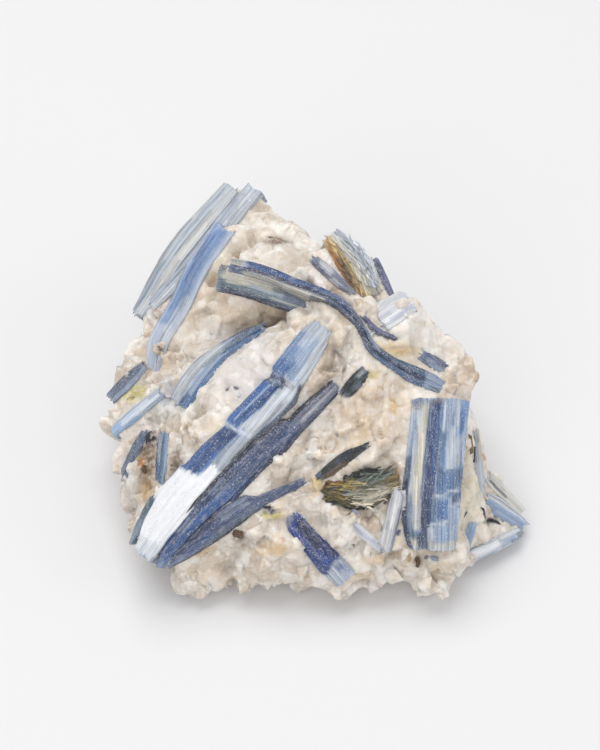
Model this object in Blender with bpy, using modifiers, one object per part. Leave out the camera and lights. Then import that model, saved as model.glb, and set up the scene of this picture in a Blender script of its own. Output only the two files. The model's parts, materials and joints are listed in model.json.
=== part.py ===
"""Kyanite blade cluster: blue kyanite blades grown through a lump of granular quartz.

Run it with: blender --background --python part.py

The rock has one broken show face, which slopes up from the front at SLOPE.  Most sizes are set
in that face's own directions, in millimetres: u runs to the right along the face, v runs up its
slope, and w stands out of it.  The rock rests on a small flat broken base at z = 0.
Every crystal is its own solid, and sits in a pocket of the quartz that is GAP larger all round.
"""

import math
import random
from dataclasses import dataclass

import bmesh
import bpy
from mathutils import Matrix, Vector, noise

MM = 0.001

# Driving dimensions
SLOPE = math.radians(50)        # how steeply the show face looks up
FACE_HEIGHT = 41.0              # height of the show face's middle above the base, mm
GAP = 0.35                      # clearance between a crystal and what holds it, mm
GRAIN = 6.5                     # size of the quartz grains that show as lumps, mm
GRAIN_RELIEF = 1.1              # how far a grain's flat stands out or in, mm
GRAIN_LIFT = 0.7                # how far the grains stand out of the lumps on average, mm
GRAIN_TILT = 0.30               # how steeply a grain's flat leans, as a slope
ROCK_VOXEL = 1.3                # fineness of the rock before it is faceted, mm
ROCK_FACETS = 2100              # triangles in the rock before the pockets are cut
FOOT_DEPTH = 8.0                # how far the rock runs below z = 0 before its base is cut flat, mm

# Each lump of the quartz is the hull of points on the show side, (u, v, w), of points behind it,
# (x, y, z), and of points (x, y) where it reaches the base, all in mm.
ROCK_LUMPS = {
    "main_face": dict(
        face=[(3, 14, -1.5), (10, 15, -2), (16, 7, -2), (24, -2, -3), (23, -20, -1), (21, -36, -1),
              (12, -45, -5), (-5, -42, -6), (-18, -44, -7), (-26, -43, -8), (-29, -37, -4.5),
              (-31, -29, -5), (-28, -20, -3.5), (-25, -8, -4.5), (-18, 1, -3.5), (-8, 9, -3),
              (0, -12, 0.4), (6, -34, -1), (-12, -34, -1), (12, -4, 0)],
        behind=[],
        feet=[(-22, -18), (-10, -23), (20, -23), (26, -5), (-24, -2)]),
    "right_shoulder": dict(
        face=[(13, 15, -4), (25, 17, -10), (29, 15.6, -11), (34.2, 9.6, -12), (37, 5.3, -13),
              (38.2, 0, -13), (37.5, -8, -13), (37, -15, -13), (34.5, -37, -6), (32, -43, -8),
              (28, -46, -8), (22, -44, -8), (21, -27, -2), (24, -6, -3.5)],
        behind=[],
        feet=[(37, -14), (20, -23), (30, -21), (37, 4), (12, 12)]),
    "right_edge": dict(
        face=[(36, -7, -14), (41, -14, -15), (42, -19, -15.5), (41.5, -24, -16), (36, -34, -9),
              (35, -24, -7), (34, -10, -11)],
        behind=[],
        feet=[(38, -12), (30, -16), (37, 2)]),
    "crest_knob": dict(
        face=[(6.5, 29, -12), (9, 29, -13), (14, 25.5, -13), (18, 21, -13), (22, 16.5, -11.5),
              (24.5, 14.5, -11), (12, 15, -5.5), (4, 24, -14), (2, 24, -16)],
        behind=[(8, 12, 25), (20, 12, 25), (8, 34, 25)],
        feet=[]),
    "crest_ledge": dict(
        face=[(-14, 25.5, -9), (-8, 24.8, -7.5), (0, 22.5, -6), (7, 19.5, -6), (9.5, 15.5, -6.5),
              (-11, 31, -19), (-2, 30.5, -18), (4, 28, -14), (-12.5, 19.5, -13), (-3, 15, -12),
              (6, 13, -9)],
        behind=[(-16, 30, 18), (8, 30, 18)],
        feet=[]),
    "back_lobe": dict(
        face=[(-17, 42.5, -39), (-12, 43, -37), (-7.5, 43.4, -35), (-3.2, 40.2, -32.5), (0, 37.4, -30.5),
              (2.2, 34.6, -28.5), (6, 30, -24), (5, 22, -17), (5, 16, -14), (-13, 17, -18.5),
              (-22, 8, -21), (-31, 1, -26), (-36, 2, -32), (-36, 14, -39)],
        behind=[],
        feet=[(-28, 20), (-26, 44), (0, 44), (4, 20)]),
    "left_flank": dict(
        face=[(-38.5, 9, -35), (-42.5, -1, -33), (-44.5, -5, -31), (-44.5, -9, -29), (-43, -13, -25),
              (-36, 3, -30), (-22, 8, -20), (-10, 10, -11), (-18, 1, -7), (-28, -14, -8),
              (-32, -27, -8)],
        behind=[],
        feet=[(-33, 12), (-27, -10), (-12, 0), (-20, 25)]),
    "low_left_flank": dict(
        face=[(-42, -12, -25), (-41.5, -18, -22), (-41.8, -24, -20), (-40, -28, -16),
              (-37.3, -32, -12.5), (-32.5, -36, -9), (-30, -14, -8), (-30, -28, -7)],
        behind=[],
        feet=[(-30, 4), (-26, -12), (-12, 0)]),
    "right_spur": dict(
        face=[(37, -21, -14), (42, -21, -17), (46.5, -26, -20), (49, -30, -22), (49, -34, -21),
              (47, -35.5, -19), (42.5, -38.5, -16), (39, -41, -14), (34, -42.5, -12), (36, -36, -10)],
        behind=[],
        feet=[(39, -12), (30, -19), (36, 2)]),
    "rear_slope": dict(
        face=[],
        behind=[(-12, 54, 36), (-20, 57, 25), (8, 46, 29), (22, 37, 24), (31, 25, 22), (37, 12, 18),
                (27, 19, 32)],
        feet=[(-18, 48), (6, 46), (26, 34), (34, 18), (10, 10), (-10, 20)]),
    "underside": dict(
        face=[],
        behind=[(-20, -12, 12), (28, -14, 12), (30, 5, 14), (20, 32, 16), (-12, 44, 18), (-26, 20, 16)],
        feet=[(-30, 12), (-25, -10), (-11, -22), (24, -22), (36, -6), (33, 16), (24, 33), (4, 44),
              (-18, 46), (-27, 38)]),
}
# Nubs of quartz along the lower edge of the show face: (u, v, w) of the middle, and half-width, mm
EDGE_NUBS = [((-25.5, -44, -9), 4.5), ((-18, -43, -8), 4.5), ((-8, -42.5, -7.5), 4.2),
             ((0, -41.5, -8), 3.8), ((5, -43.5, -9), 4.0), ((10, -46.5, -9.5), 3.9),
             ((17, -45.8, -9.5), 4.0), ((29, -43.5, -9), 4.0), ((25, -42, -8), 3.6)]

# Colours as the pieces' own base colours, roughness and metallic value
FINISHES = {
    "quartz": ((0.80, 0.74, 0.66), 0.55, 0.0),
    "deep_blue": ((0.06, 0.12, 0.33), 0.35, 0.0),
    "mid_blue": ((0.16, 0.28, 0.52), 0.35, 0.0),
    "pale_blue": ((0.47, 0.56, 0.68), 0.40, 0.0),
    "silver_blue": ((0.70, 0.74, 0.80), 0.30, 0.0),
    "steel_blue": ((0.18, 0.27, 0.38), 0.40, 0.0),
    "dark_mica": ((0.10, 0.10, 0.07), 0.50, 0.0),
    "rusty_fibre": ((0.66, 0.52, 0.36), 0.60, 0.0),
}


@dataclass
class Blade:
    """One crystal: a lath with a ribbed broad face, whose middle line runs along path."""

    name: str
    path: list                    # (u, v, w) of the broad face's middle line, mm
    width: float                  # across the broad face at its widest, mm
    thick: float                  # through the lath, mm
    finish: str
    faces: tuple = (0, 0, 1)      # (u, v, w) direction that the broad face looks in
    ends: tuple = (0.8, 0.8)      # share of the width left at the first and the last end
    outline: tuple = ()           # stations (share of length, left, right, lift), where it has steps
    profile: tuple = ()           # heights across the broad face from right to left, mm
    ribs: int = 4                 # strips across the broad face
    stations: int = 3             # lengths along it
    relief: float = 0.5           # height of the strips' steps, mm
    ragged: float = 1.0           # how far the broken ends reach in and out, mm
    clear_of: tuple = ()          # neighbours that this crystal makes room for
    in_world: bool = False        # path and faces are given as (x, y, z) instead


BLADES = [
    # The fan on the show face, whose blades meet at its lower left tip
    Blade("broad_blade", [(-34.1, -39, 0.2), (-14.7, -14.2, 2.2), (4.7, 10.7, 1)], 9, 5, "mid_blue",
          faces=(-0.1, 0.05, 1), ribs=4, profile=(-0.6, 0, -0.15, 0.1, -0.4), ragged=0.7,
          outline=((0, 2.2, -2.4, -0.6), (0.1, 4.3, -1.4, -0.2), (0.22, 5.8, -1.8, 0),
                   (0.325, 5.3, -2.2, 0), (0.34, 4.6, -2.2, -0.3), (0.43, 4.3, -2.1, -0.2),
                   (0.53, 2.9, -2.4, -0.3), (0.55, 3.7, -2.7, -0.9), (0.63, 3, -4.3, -0.6),
                   (0.725, 2.2, -5.3, -0.7), (0.745, 1.2, -5.2, -1.5), (0.78, 1.4, -4.6, -1.6),
                   (0.795, 2.4, -4.4, -0.5), (0.9, 2.4, -3.2, -0.3), (1, 2.3, -2.3, -0.4))),
    Blade("groove_blade", [(-30.1, -41.5, -1.2), (-10.8, -22, 0.6), (8.6, -2.4, -0.6)], 6, 4.5,
          "deep_blue", faces=(0.25, -0.25, 1), ribs=3, profile=(-0.5, 0.1, 0, -0.6), ragged=0.7,
          clear_of=("broad_blade",),
          outline=((0, 1.2, -1, -0.4), (0.064, 2.4, -0.2, -0.3), (0.19, 3.7, 0, 0), (0.29, 4.3, -0.3, 0.2),
                   (0.375, 4.4, -1, 0.3), (0.475, 4.6, -0.8, 0.1), (0.57, 4.3, -1, 0),
                   (0.67, 4.2, -1.6, 0), (0.745, 3.4, -1.4, -0.2), (0.765, 1.7, -1.3, -1),
                   (0.85, 1.8, -1.3, -0.8), (1, 1.5, -1.2, -1))),
    Blade("under_blade", [(-28.5, -41.7, -2.2), (-13.7, -32.4, -1.2), (1.1, -23.2, -2)], 5, 4, "steel_blue",
          faces=(0.2, -0.4, 1), ribs=3, profile=(-0.4, 0.1, -0.3, -0.2), ragged=0.5,
          clear_of=("broad_blade", "groove_blade"),
          outline=((0, 0.7, -0.6, -0.5), (0.05, 1.1, -0.6, -0.3), (0.2, 2.3, -0.7, 0),
                   (0.345, 3.5, -0.7, 0), (0.54, 4.4, -0.4, 0), (0.66, 4.3, 0.1, 0), (0.7, 2.6, 0.3, -0.3),
                   (0.87, 1.4, 0.1, -0.3), (1, 0.7, -0.3, -0.6))),
    # The crest, where one blade is bent across the rock
    Blade("bent_blade", [(-15.2, 24.3, -3.5), (-8.2, 22.5, -2), (-1.1, 19.8, -0.5), (6.9, 16.7, 0.8),
                         (11, 13.4, 0.5), (13.8, 9.7, -0.8), (15.8, 6.2, -1.5), (19.9, 3, -3),
                         (25.7, 0, -4.8), (31.5, -2.6, -7)], 4, 4, "deep_blue", faces=(0.1, 0.4, 1),
          ribs=3, profile=(-0.5, 0.1, -0.3, -0.1), ragged=0.7,
          outline=((0, 1.4, -1.4, -0.2), (0.08, 1.6, -1.6, 0), (0.2, 1.5, -1.5, 0), (0.32, 1.4, -1.4, 0),
                   (0.43, 1.3, -1.3, 0), (0.52, 1.1, -1.1, 0), (0.58, 0.9, -1, 0), (0.63, 1, -1.1, 0),
                   (0.68, 1.1, -1.3, 0), (0.77, 1.3, -1.5, 0), (0.88, 1.9, -2.1, 0.1),
                   (0.95, 2, -1.8, 0), (1, 1.5, -1.2, -0.3))),
    Blade("grey_blade", [(-18.1, 20, -4.5), (-10.4, 18.2, -3.2), (-2.2, 15.4, -3), (5.4, 13.5, -5)], 4.6, 5.5,
          "steel_blue", faces=(-0.1, -0.45, 1), ends=(0.95, 0.6), ribs=4, stations=5,
          clear_of=("bent_blade",)),
    Blade("lilac_sliver", [(13.8, 12.8, -1.3), (16.8, 9.8, -2.8), (21.5, 8, -5)], 1.6, 2.5, "deep_blue",
          faces=(0.3, 0.3, 1), ends=(0.6, 0.6), ribs=2, stations=5, relief=0.3, ragged=0.4,
          clear_of=("bent_blade",)),
    Blade("crest_shard", [(17, 12.4, -4.3), (24, 16.7, -8.5)], 4.4, 3.5, "silver_blue", faces=(0.1, 0.4, 1),
          clear_of=("lilac_sliver",)),
    Blade("crest_stub", [(26.8, 4.6, -8.2), (34.5, 0.3, -11)], 3.4, 3.4, "steel_blue",
          faces=(0.4, 0.3, 1), ends=(0.7, 0.8), ribs=3, stations=3, clear_of=("bent_blade",)),
    Blade("rusty_bundle", [(7, 31.3, -11), (11, 26.6, -8.5), (14, 21.7, -7.5), (16, 17.6, -8)], 8.2, 5,
          "rusty_fibre", faces=(0.2, 0.6, 1), ends=(0.45, 0.75), ribs=6, stations=5, relief=0.9,
          ragged=1.3, clear_of=("bent_blade", "crest_shard")),
    Blade("grey_fragment", [(3, 25.6, -7), (11.3, 18.2, -4.7)], 2.6, 3, "steel_blue", faces=(-0.1, 0.5, 1),
          ends=(0.8, 0.5), ribs=3, stations=4, clear_of=("bent_blade", "rusty_bundle")),
    Blade("ridge_sliver", [(17, 25.7, -10.8), (20.6, 17.3, -9.5)], 1.8, 3, "deep_blue",
          faces=(0.6, 0.4, 1), ribs=2, stations=3, relief=0.3, clear_of=("rusty_bundle", "crest_shard")),
    Blade("dark_speck", [(9.6, -4.2, 0.4), (14, 0.8, -0.3)], 3.2, 3, "dark_mica", ribs=3, stations=3,
          clear_of=("groove_blade",)),
    # The lower right of the show face
    Blade("block_blade", [(29.7, -5.2, -2.3), (29.4, -21, -0.6), (29.1, -37.6, 0.2)], 13, 7, "mid_blue",
          faces=(0.08, 0.05, 1), ribs=8, ragged=0.6,
          profile=(-1.6, -0.1, 0.1, 0, -0.4, -0.35, 0, -0.1, -0.5),
          outline=((0, 7.2, -5.2, -0.2), (0.2, 6.7, -5.8, 0), (0.38, 6.1, -6.4, 0), (0.6, 5.6, -7.2, 0),
                   (0.8, 5.2, -7.2, 0), (0.83, 5.1, -6.2, -0.4), (1, 4.5, -4.8, -0.5))),
    Blade("pale_shard", [(20.9, -24.8, 0.3), (18.2, -38, 0)], 2.4, 3.6, "silver_blue",
          faces=(-0.3, 0, 1), ends=(0.6, 0.8), ribs=2, stations=3, relief=0.3, clear_of=("block_blade",)),
    Blade("deep_stub", [(-2.3, -31, 0.6), (9.6, -45, -2.4)], 5.9, 5, "deep_blue",
          faces=(0.1, -0.15, 1), ribs=4, profile=(-0.7, 0.2, -0.3, 0.1, -0.5), ragged=1,
          outline=((0, 2.3, -1, -0.4), (0.1, 2.5, -1.8, 0), (0.28, 2.5, -2, 0), (0.5, 2.9, -2.2, 0.1),
                   (0.72, 3.2, -2.5, 0), (0.75, 3.2, -2.5, -0.8), (1, 3.2, -1.8, -0.8))),
    Blade("mica_lens", [(4.5, -24.2, -0.8), (12.5, -24.4, 1), (21.3, -22.5, -0.6)], 9.6, 6, "dark_mica",
          faces=(0, 0.1, 1), ends=(0.2, 0.25), ribs=6, stations=5, relief=0.8, ragged=0.4,
          clear_of=("block_blade", "pale_shard")),
    Blade("mica_tail", [(3.9, -21.7, 0.9), (9.3, -18, 1.3), (14.5, -15.2, 0.9)], 2.4, 3, "dark_mica",
          ends=(0.3, 0.4), ribs=3, stations=4, relief=0.3, ragged=0.4, clear_of=("mica_lens",)),
    Blade("lavender_sliver", [(11.2, -31.7, 0.6), (17.5, -37.6, 0.4)], 2.2, 3, "silver_blue",
          ends=(0.5, 0.6), ribs=2, stations=3, relief=0.3, clear_of=("pale_shard", "mica_lens")),
    # The upper left, where the blades lie along the back edge
    Blade("steel_blade", [(-8.3, 10.8, -5.5), (-16.9, 5.5, -7), (-22.5, 0.4, -8.6), (-27.4, -6.4, -10.6)],
          6, 4.4, "steel_blue", faces=(-0.45, 0.35, 1), ribs=4, profile=(-0.4, 0, 0.2, -0.5, -0.3),
          outline=((0, 0.8, -0.9, -0.4), (0.15, 1.7, -1.7, 0), (0.4, 2.1, -2.1, 0), (0.65, 3, -3, 0),
                   (0.85, 3.1, -3.1, 0), (1, 2.4, -2.6, -0.3))),
    Blade("long_back_blade", [(-17.4, 33.8, -24), (-24, 24.2, -23.5), (-27.9, 16, -24), (-32.6, 8, -25.5),
                              (-33.8, 1.2, -27)], 6, 4.4, "pale_blue", faces=(-0.5, 0.3, 1),
          ends=(0.95, 0.8), ribs=4, stations=6, relief=0.5),
    Blade("inner_back_blade", [(-11, 43.8, -32.5), (-23.4, 28.8, -30.5), (-35, 16.5, -33)], 6, 4.2,
          "steel_blue", faces=(-0.4, 0.5, 1), ends=(0.8, 0.5), ribs=3, stations=5,
          clear_of=("long_back_blade",)),
    Blade("outer_back_blade", [(-16.6, 44.3, -35.5), (-28.6, 30, -33.5), (-39, 14.6, -37)], 7.2, 4.6,
          "pale_blue", faces=(-0.6, 0.5, 1), ends=(0.8, 0.55), ribs=4, stations=5,
          clear_of=("inner_back_blade", "long_back_blade")),
    # The lower left flank
    Blade("pale_side_blade", [(-31, -3.6, -12), (-42.6, -12.6, -20)], 3.4, 3.4, "silver_blue",
          faces=(-0.6, 0.3, 1), ribs=3, clear_of=("steel_blade",)),
    Blade("upright_blade", [(-30.3, -12.6, -9.5), (-31.5, -25, -8.5)], 3.2, 4, "mid_blue",
          faces=(-0.5, 0.1, 1), ribs=3, clear_of=("broad_blade",)),
    Blade("dark_side_blade", [(-35, -12.6, -14), (-39.9, -22.2, -17)], 3, 3.6, "steel_blue",
          faces=(-0.7, 0, 1), ends=(0.6, 0.8), ribs=3, clear_of=("pale_side_blade",)),
    Blade("edge_blade", [(-32, -26.6, -5.5), (-37.6, -37, -8.5)], 2.6, 4, "steel_blue",
          faces=(-0.8, 0, 1), ends=(0.8, 0.35), ribs=2, relief=0.3, clear_of=("broad_blade", "upright_blade")),
    Blade("low_left_blade", [(-36.5, 2, -28), (-44.3, -5.2, -30)], 4, 3.6, "steel_blue",
          faces=(-0.6, 0.4, 1), ends=(0.7, 0.8), ribs=3, clear_of=("long_back_blade",)),
    # The right-hand spur
    Blade("spur_upper_blade", [(42.4, -22.6, -16.5), (51, -31, -20.8)], 2.6, 3, "silver_blue",
          faces=(0.4, 0.5, 1), ribs=2, relief=0.3),
    Blade("spur_middle_blade", [(41.8, -27.6, -15), (51.2, -34, -20)], 3.2, 3.4, "pale_blue",
          faces=(0.2, 0.3, 1), ribs=3, relief=0.4, clear_of=("spur_upper_blade",)),
    Blade("spur_lower_blade", [(34.6, -41.6, -10.4), (41.6, -38.9, -13), (50, -35.6, -17.8)], 3.4, 3.6,
          "silver_blue", faces=(0.2, -0.2, 1), ends=(0.7, 0.7), ribs=3, stations=5, relief=0.4,
          clear_of=("spur_middle_blade",)),
    Blade("spur_upright", [(38.4, -32.6, -9.8), (36, -40.2, -9.3)], 2.2, 3.4, "pale_blue",
          faces=(0.4, 0, 1), ribs=2, relief=0.3, clear_of=("spur_lower_blade", "block_blade")),
    Blade("right_edge_blade", [(39.5, -12.6, -14), (41.2, -27.4, -15.2)], 2.4, 3.6, "silver_blue",
          faces=(0.8, 0.1, 1), ribs=2, relief=0.3, clear_of=("spur_upper_blade", "spur_middle_blade")),
    # The back of the rock
    Blade("rear_long_blade", [(-14.6, 55.6, 21), (6.4, 48.2, 9)], 7, 4.5, "mid_blue",
          faces=(0.36, 0.92, -0.1), ribs=4, stations=3, in_world=True),
    Blade("rear_top_blade", [(-1.5, 49.8, 35), (18.5, 31, 33.5)], 6, 4.5, "steel_blue",
          faces=(0.44, 0.4, 0.8), ends=(0.7, 0.8), ribs=4, stations=4, in_world=True),
    Blade("rear_short_blade", [(27.5, 33.6, 22), (34, 22.6, 8)], 6, 4, "pale_blue",
          faces=(0.8, 0.55, 0.1), ends=(0.8, 0.7), ribs=4, in_world=True),
    Blade("rear_side_blade", [(36.5, 12.5, 21), (38.5, 7, 8)], 4, 4, "steel_blue",
          faces=(0.92, 0.3, 0.1), ribs=3, in_world=True),
    Blade("rear_left_blade", [(-37, 30.5, 11), (-32.5, 42, 5)], 4.5, 4, "mid_blue",
          faces=(-0.85, 0.4, 0.1), ribs=3, in_world=True),
]


def from_face(u, v, w):
    """The world place, in metres, of a point given in the show face's directions, in mm."""
    y = v * math.sin(SLOPE) - w * math.cos(SLOPE)
    z = FACE_HEIGHT + v * math.cos(SLOPE) + w * math.sin(SLOPE)
    return Vector((u, y, z)) * MM


def placed(blade, point):
    """The world place of one of the blade's path points, in metres."""
    return Vector(point) * MM if blade.in_world else from_face(*point)


def facing_of(blade):
    """The world direction that the blade's broad face looks in."""
    return (placed(blade, blade.faces) - placed(blade, (0, 0, 0))).normalized()


def clear_scene():
    for thing in list(bpy.data.objects):
        bpy.data.objects.remove(thing)


def new_collection(name):
    made = bpy.data.collections.new(name)
    bpy.context.scene.collection.children.link(made)
    return made


def finish_material(name):
    colour, roughness, metallic = FINISHES[name]
    material = bpy.data.materials.get(name)
    if material:
        return material
    material = bpy.data.materials.new(name)
    material.use_nodes = True
    shader = material.node_tree.nodes["Principled BSDF"]
    shader.inputs["Base Color"].default_value = (*colour, 1)
    shader.inputs["Roughness"].default_value = roughness
    shader.inputs["Metallic"].default_value = metallic
    return material


def object_from(bm, name, collection):
    mesh = bpy.data.meshes.new(name)
    bm.to_mesh(mesh)
    bm.free()
    made = bpy.data.objects.new(name, mesh)
    collection.objects.link(made)
    return made


def apply_modifiers(thing):
    """Swaps the object's mesh for the one that its modifiers make."""
    graph = bpy.context.evaluated_depsgraph_get()
    mesh = bpy.data.meshes.new_from_object(thing.evaluated_get(graph))
    thing.modifiers.clear()
    thing.data = mesh


# ---------------------------------------------------------------- quartz

def hull_of(bm, points):
    """Adds the convex hull of the points to bm."""
    corners = [bm.verts.new(p) for p in points]
    made = bmesh.ops.convex_hull(bm, input=corners)
    loose = {v for v in made["geom_interior"] if isinstance(v, bmesh.types.BMVert)}
    bmesh.ops.delete(bm, geom=list(loose), context="VERTS")


def outer_skin_only(thing):
    """Deletes every closed shell of the object but its largest, which is the outside."""
    bm = bmesh.new()
    bm.from_mesh(thing.data)
    waiting = set(bm.verts)
    shells = []
    while waiting:
        shell = {waiting.pop()}
        edge_of_shell = list(shell)
        while edge_of_shell:
            vertex = edge_of_shell.pop()
            fresh = {e.other_vert(vertex) for e in vertex.link_edges} - shell
            shell |= fresh
            edge_of_shell.extend(fresh)
        waiting -= shell
        shells.append(shell)
    shells.sort(key=len)
    inside = [vertex for shell in shells[:-1] for vertex in shell]
    bmesh.ops.delete(bm, geom=inside, context="VERTS")
    bm.to_mesh(thing.data)
    bm.free()


def grain_offset(place):
    """How far the quartz surface at this place stands out, from the flat of the grain that it is on."""
    distances, middles = noise.voronoi(place / (GRAIN * MM), distance_metric="DISTANCE")
    grain = middles[0]
    lean = (noise.cell_vector(grain * 7.31) - Vector((0.5, 0.5, 0.5))) * 2 * GRAIN_TILT
    from_middle = place - grain * GRAIN * MM
    height = (GRAIN_LIFT + (noise.cell(grain * 3.17) - 0.5) * 2 * GRAIN_RELIEF) * MM
    crease = min(1.0, (distances[1] - distances[0]) * 4)
    return height + lean.dot(from_middle) - (1 - crease) * 0.4 * GRAIN_RELIEF * MM


def fuse(thing):
    """Makes the object's lumps one closed skin, with no face through another."""
    remesh = thing.modifiers.new("fuse", "REMESH")
    remesh.mode = "VOXEL"
    remesh.voxel_size = ROCK_VOXEL * MM
    apply_modifiers(thing)
    outer_skin_only(thing)


def make_quartz(collection):
    """The granular quartz that everything else grew in, before its pockets are cut."""
    bm = bmesh.new()
    for lump in ROCK_LUMPS.values():
        feet = [Vector((x, y, -FOOT_DEPTH)) * MM for x, y in lump["feet"]]
        behind = [Vector(p) * MM for p in lump["behind"]]
        hull_of(bm, [from_face(*p) for p in lump["face"]] + behind + feet)
    for middle, half_width in EDGE_NUBS:
        nub = bmesh.ops.create_icosphere(bm, subdivisions=1, radius=half_width * MM)
        bmesh.ops.translate(bm, verts=nub["verts"], vec=from_face(*middle))
    quartz = object_from(bm, "quartz_matrix", collection)

    fuse(quartz)
    for vertex, normal in zip(quartz.data.vertices, [v.normal.copy() for v in quartz.data.vertices]):
        vertex.co += normal * grain_offset(vertex.co)
    fuse(quartz)

    facets = quartz.modifiers.new("facets", "DECIMATE")
    facets.ratio = ROCK_FACETS / (2 * len(quartz.data.polygons))
    apply_modifiers(quartz)

    bm = bmesh.new()
    bm.from_mesh(quartz.data)
    cut = bmesh.ops.bisect_plane(bm, geom=bm.verts[:] + bm.edges[:] + bm.faces[:], dist=1e-6,
                                 plane_co=(0, 0, 0), plane_no=(0, 0, -1), clear_outer=True)
    rim = [e for e in cut["geom_cut"] if isinstance(e, bmesh.types.BMEdge)]
    bmesh.ops.holes_fill(bm, edges=rim, sides=0)
    bmesh.ops.triangulate(bm, faces=bm.faces[:])
    bm.to_mesh(quartz.data)
    bm.free()
    outer_skin_only(quartz)
    quartz.data.materials.append(finish_material("quartz"))
    return quartz


# ---------------------------------------------------------------- crystals

def along(blade, share):
    """(place, direction) at this share of the length of a smooth curve through the blade's path."""
    points = [placed(blade, p) for p in blade.path]
    lengths = [(b - a).length for a, b in zip(points, points[1:])]
    target = share * sum(lengths)
    i = 0
    while i < len(lengths) - 1 and target > lengths[i]:
        target -= lengths[i]
        i += 1
    t = target / lengths[i]
    before = points[max(i - 1, 0)]
    after = points[min(i + 2, len(points) - 1)]
    start, end = points[i], points[i + 1]
    leave = (end - before) / (2 if i > 0 else 1)
    arrive = (after - start) / (2 if i + 2 < len(points) else 1)
    place = ((2 * t**3 - 3 * t**2 + 1) * start + (t**3 - 2 * t**2 + t) * leave
             + (3 * t**2 - 2 * t**3) * end + (t**3 - t**2) * arrive)
    direction = ((6 * t**2 - 6 * t) * start + (3 * t**2 - 4 * t + 1) * leave
                 + (6 * t - 6 * t**2) * end + (3 * t**2 - 2 * t) * arrive)
    return place, direction.normalized()


def plain_outline(blade):
    """Stations for a blade with no steps: it narrows smoothly from its middle to its two ends."""
    first, last = blade.ends
    stations = []
    for i in range(blade.stations + 1):
        share = i / blade.stations
        bulge = math.sin(math.pi * share)
        left = blade.width / 2 * (bulge + (1 - bulge) * (first + (last - first) * share))
        stations.append((share, left, -left, 0.0))
    return stations


def blade_mesh(blade, grow=0.0):
    """The lath: a ribbed sheet, extruded to its thickness.

    With grow it is instead the plain lath that would hold it, larger all round by grow, in mm.
    """
    rng = random.Random(blade.name)
    outline = blade.outline or plain_outline(blade)
    profile = blade.profile
    if not profile:
        profile = [rng.uniform(-blade.relief, 0) for _ in range(blade.ribs + 1)]
        profile[0] -= blade.relief * 0.6
        profile[-1] -= blade.relief * 0.6
    steps = [(rng.uniform(0.2, 0.9), rng.uniform(-0.6, 0.3) * blade.relief) for _ in profile]
    ragged = [[rng.uniform(-blade.ragged, blade.ragged) for _ in profile] for _ in range(2)]
    depth = blade.thick
    if grow:
        top = max(height + max(step, 0) for height, (_, step) in zip(profile, steps))
        lowest = min(height + min(step, 0) for height, (_, step) in zip(profile, steps))
        depth += top - lowest + 2 * grow
        profile = [top + grow] * 2
        steps = [(1, 0)] * 2
        ragged = [[min(ragged[0]) - grow] * 2, [max(ragged[1]) + grow] * 2]

    bm = bmesh.new()
    bmesh.ops.create_grid(bm, x_segments=len(outline) - 1, y_segments=len(profile) - 1, size=1)
    facing = facing_of(blade)
    for vertex in bm.verts:
        station = round((vertex.co.x + 1) / 2 * (len(outline) - 1))
        rib = round((vertex.co.y + 1) / 2 * (len(profile) - 1))
        share, left, right, lift = outline[station]
        place, direction = along(blade, share)
        side = facing.cross(direction).normalized()
        out = direction.cross(side).normalized()
        across = (right - grow) + (left - right + 2 * grow) * rib / (len(profile) - 1)
        step_at, step = steps[rib]
        height = lift + profile[rib] + (step if share > step_at else 0)
        reach = 0.0
        if station == 0:
            reach = ragged[0][rib]
        elif station == len(outline) - 1:
            reach = ragged[1][rib]
        vertex.co = place + (side * across + out * height + direction * reach) * MM
    down = -facing * depth * MM
    skin = bmesh.ops.extrude_face_region(bm, geom=bm.faces[:])
    moved = [v for v in skin["geom"] if isinstance(v, bmesh.types.BMVert)]
    bmesh.ops.translate(bm, verts=moved, vec=down)
    bmesh.ops.recalc_face_normals(bm, faces=bm.faces[:])
    bmesh.ops.triangulate(bm, faces=bm.faces[:])
    return bm


def cut_away(thing, cutters):
    """Takes the cutters' shapes out of the object, and drops any chip that this cuts loose."""
    for cutter in cutters:
        cut = thing.modifiers.new("clear_" + cutter.name, "BOOLEAN")
        cut.operation = "DIFFERENCE"
        cut.object = cutter
    apply_modifiers(thing)
    bm = bmesh.new()
    bm.from_mesh(thing.data)
    bmesh.ops.triangulate(bm, faces=bm.faces[:])
    bm.to_mesh(thing.data)
    bm.free()
    outer_skin_only(thing)


def bounds_of(things):
    """The lowest and highest corners of the objects' shapes."""
    corners = [vertex.co for thing in things for vertex in thing.data.vertices]
    low = Vector(min(c[i] for c in corners) for i in range(3))
    high = Vector(max(c[i] for c in corners) for i in range(3))
    return low, high


def stand_on_origin(cluster):
    """Moves everything so that the middle of the cluster's base is the origin."""
    low, high = bounds_of(cluster.objects)
    middle = (low + high) / 2
    move = Matrix.Translation((-middle.x, -middle.y, -low.z))
    for thing in cluster.objects:
        thing.data.transform(move)


def main():
    clear_scene()
    cluster = new_collection("kyanite_blade_cluster")
    cutters = new_collection("pockets")
    quartz = make_quartz(cluster)
    pockets = {}
    for blade in BLADES:
        pockets[blade.name] = object_from(blade_mesh(blade, GAP), "pocket_" + blade.name, cutters)
        crystal = object_from(blade_mesh(blade), blade.name, cluster)
        crystal.data.materials.append(finish_material(blade.finish))
        cut_away(crystal, [pockets[name] for name in blade.clear_of])
    cut_away(quartz, pockets.values())
    for pocket in pockets.values():
        bpy.data.objects.remove(pocket)
    bpy.data.collections.remove(cutters)
    stand_on_origin(cluster)


main()
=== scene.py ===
"""The looks of a kyanite blade cluster: striated blue blades in milky granular quartz.

The show face has its own directions, in millimetres: u runs to the right along it, v up its slope
and w out of it.  A blade is made as a fine straight lath in plain shares of its length, width and
depth, and then bent along the same path that its solid follows.  Its relief and its colours are
worked out in millimetres along, across and down into the blade.
"""

import json
import math
import random
from dataclasses import dataclass

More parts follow.
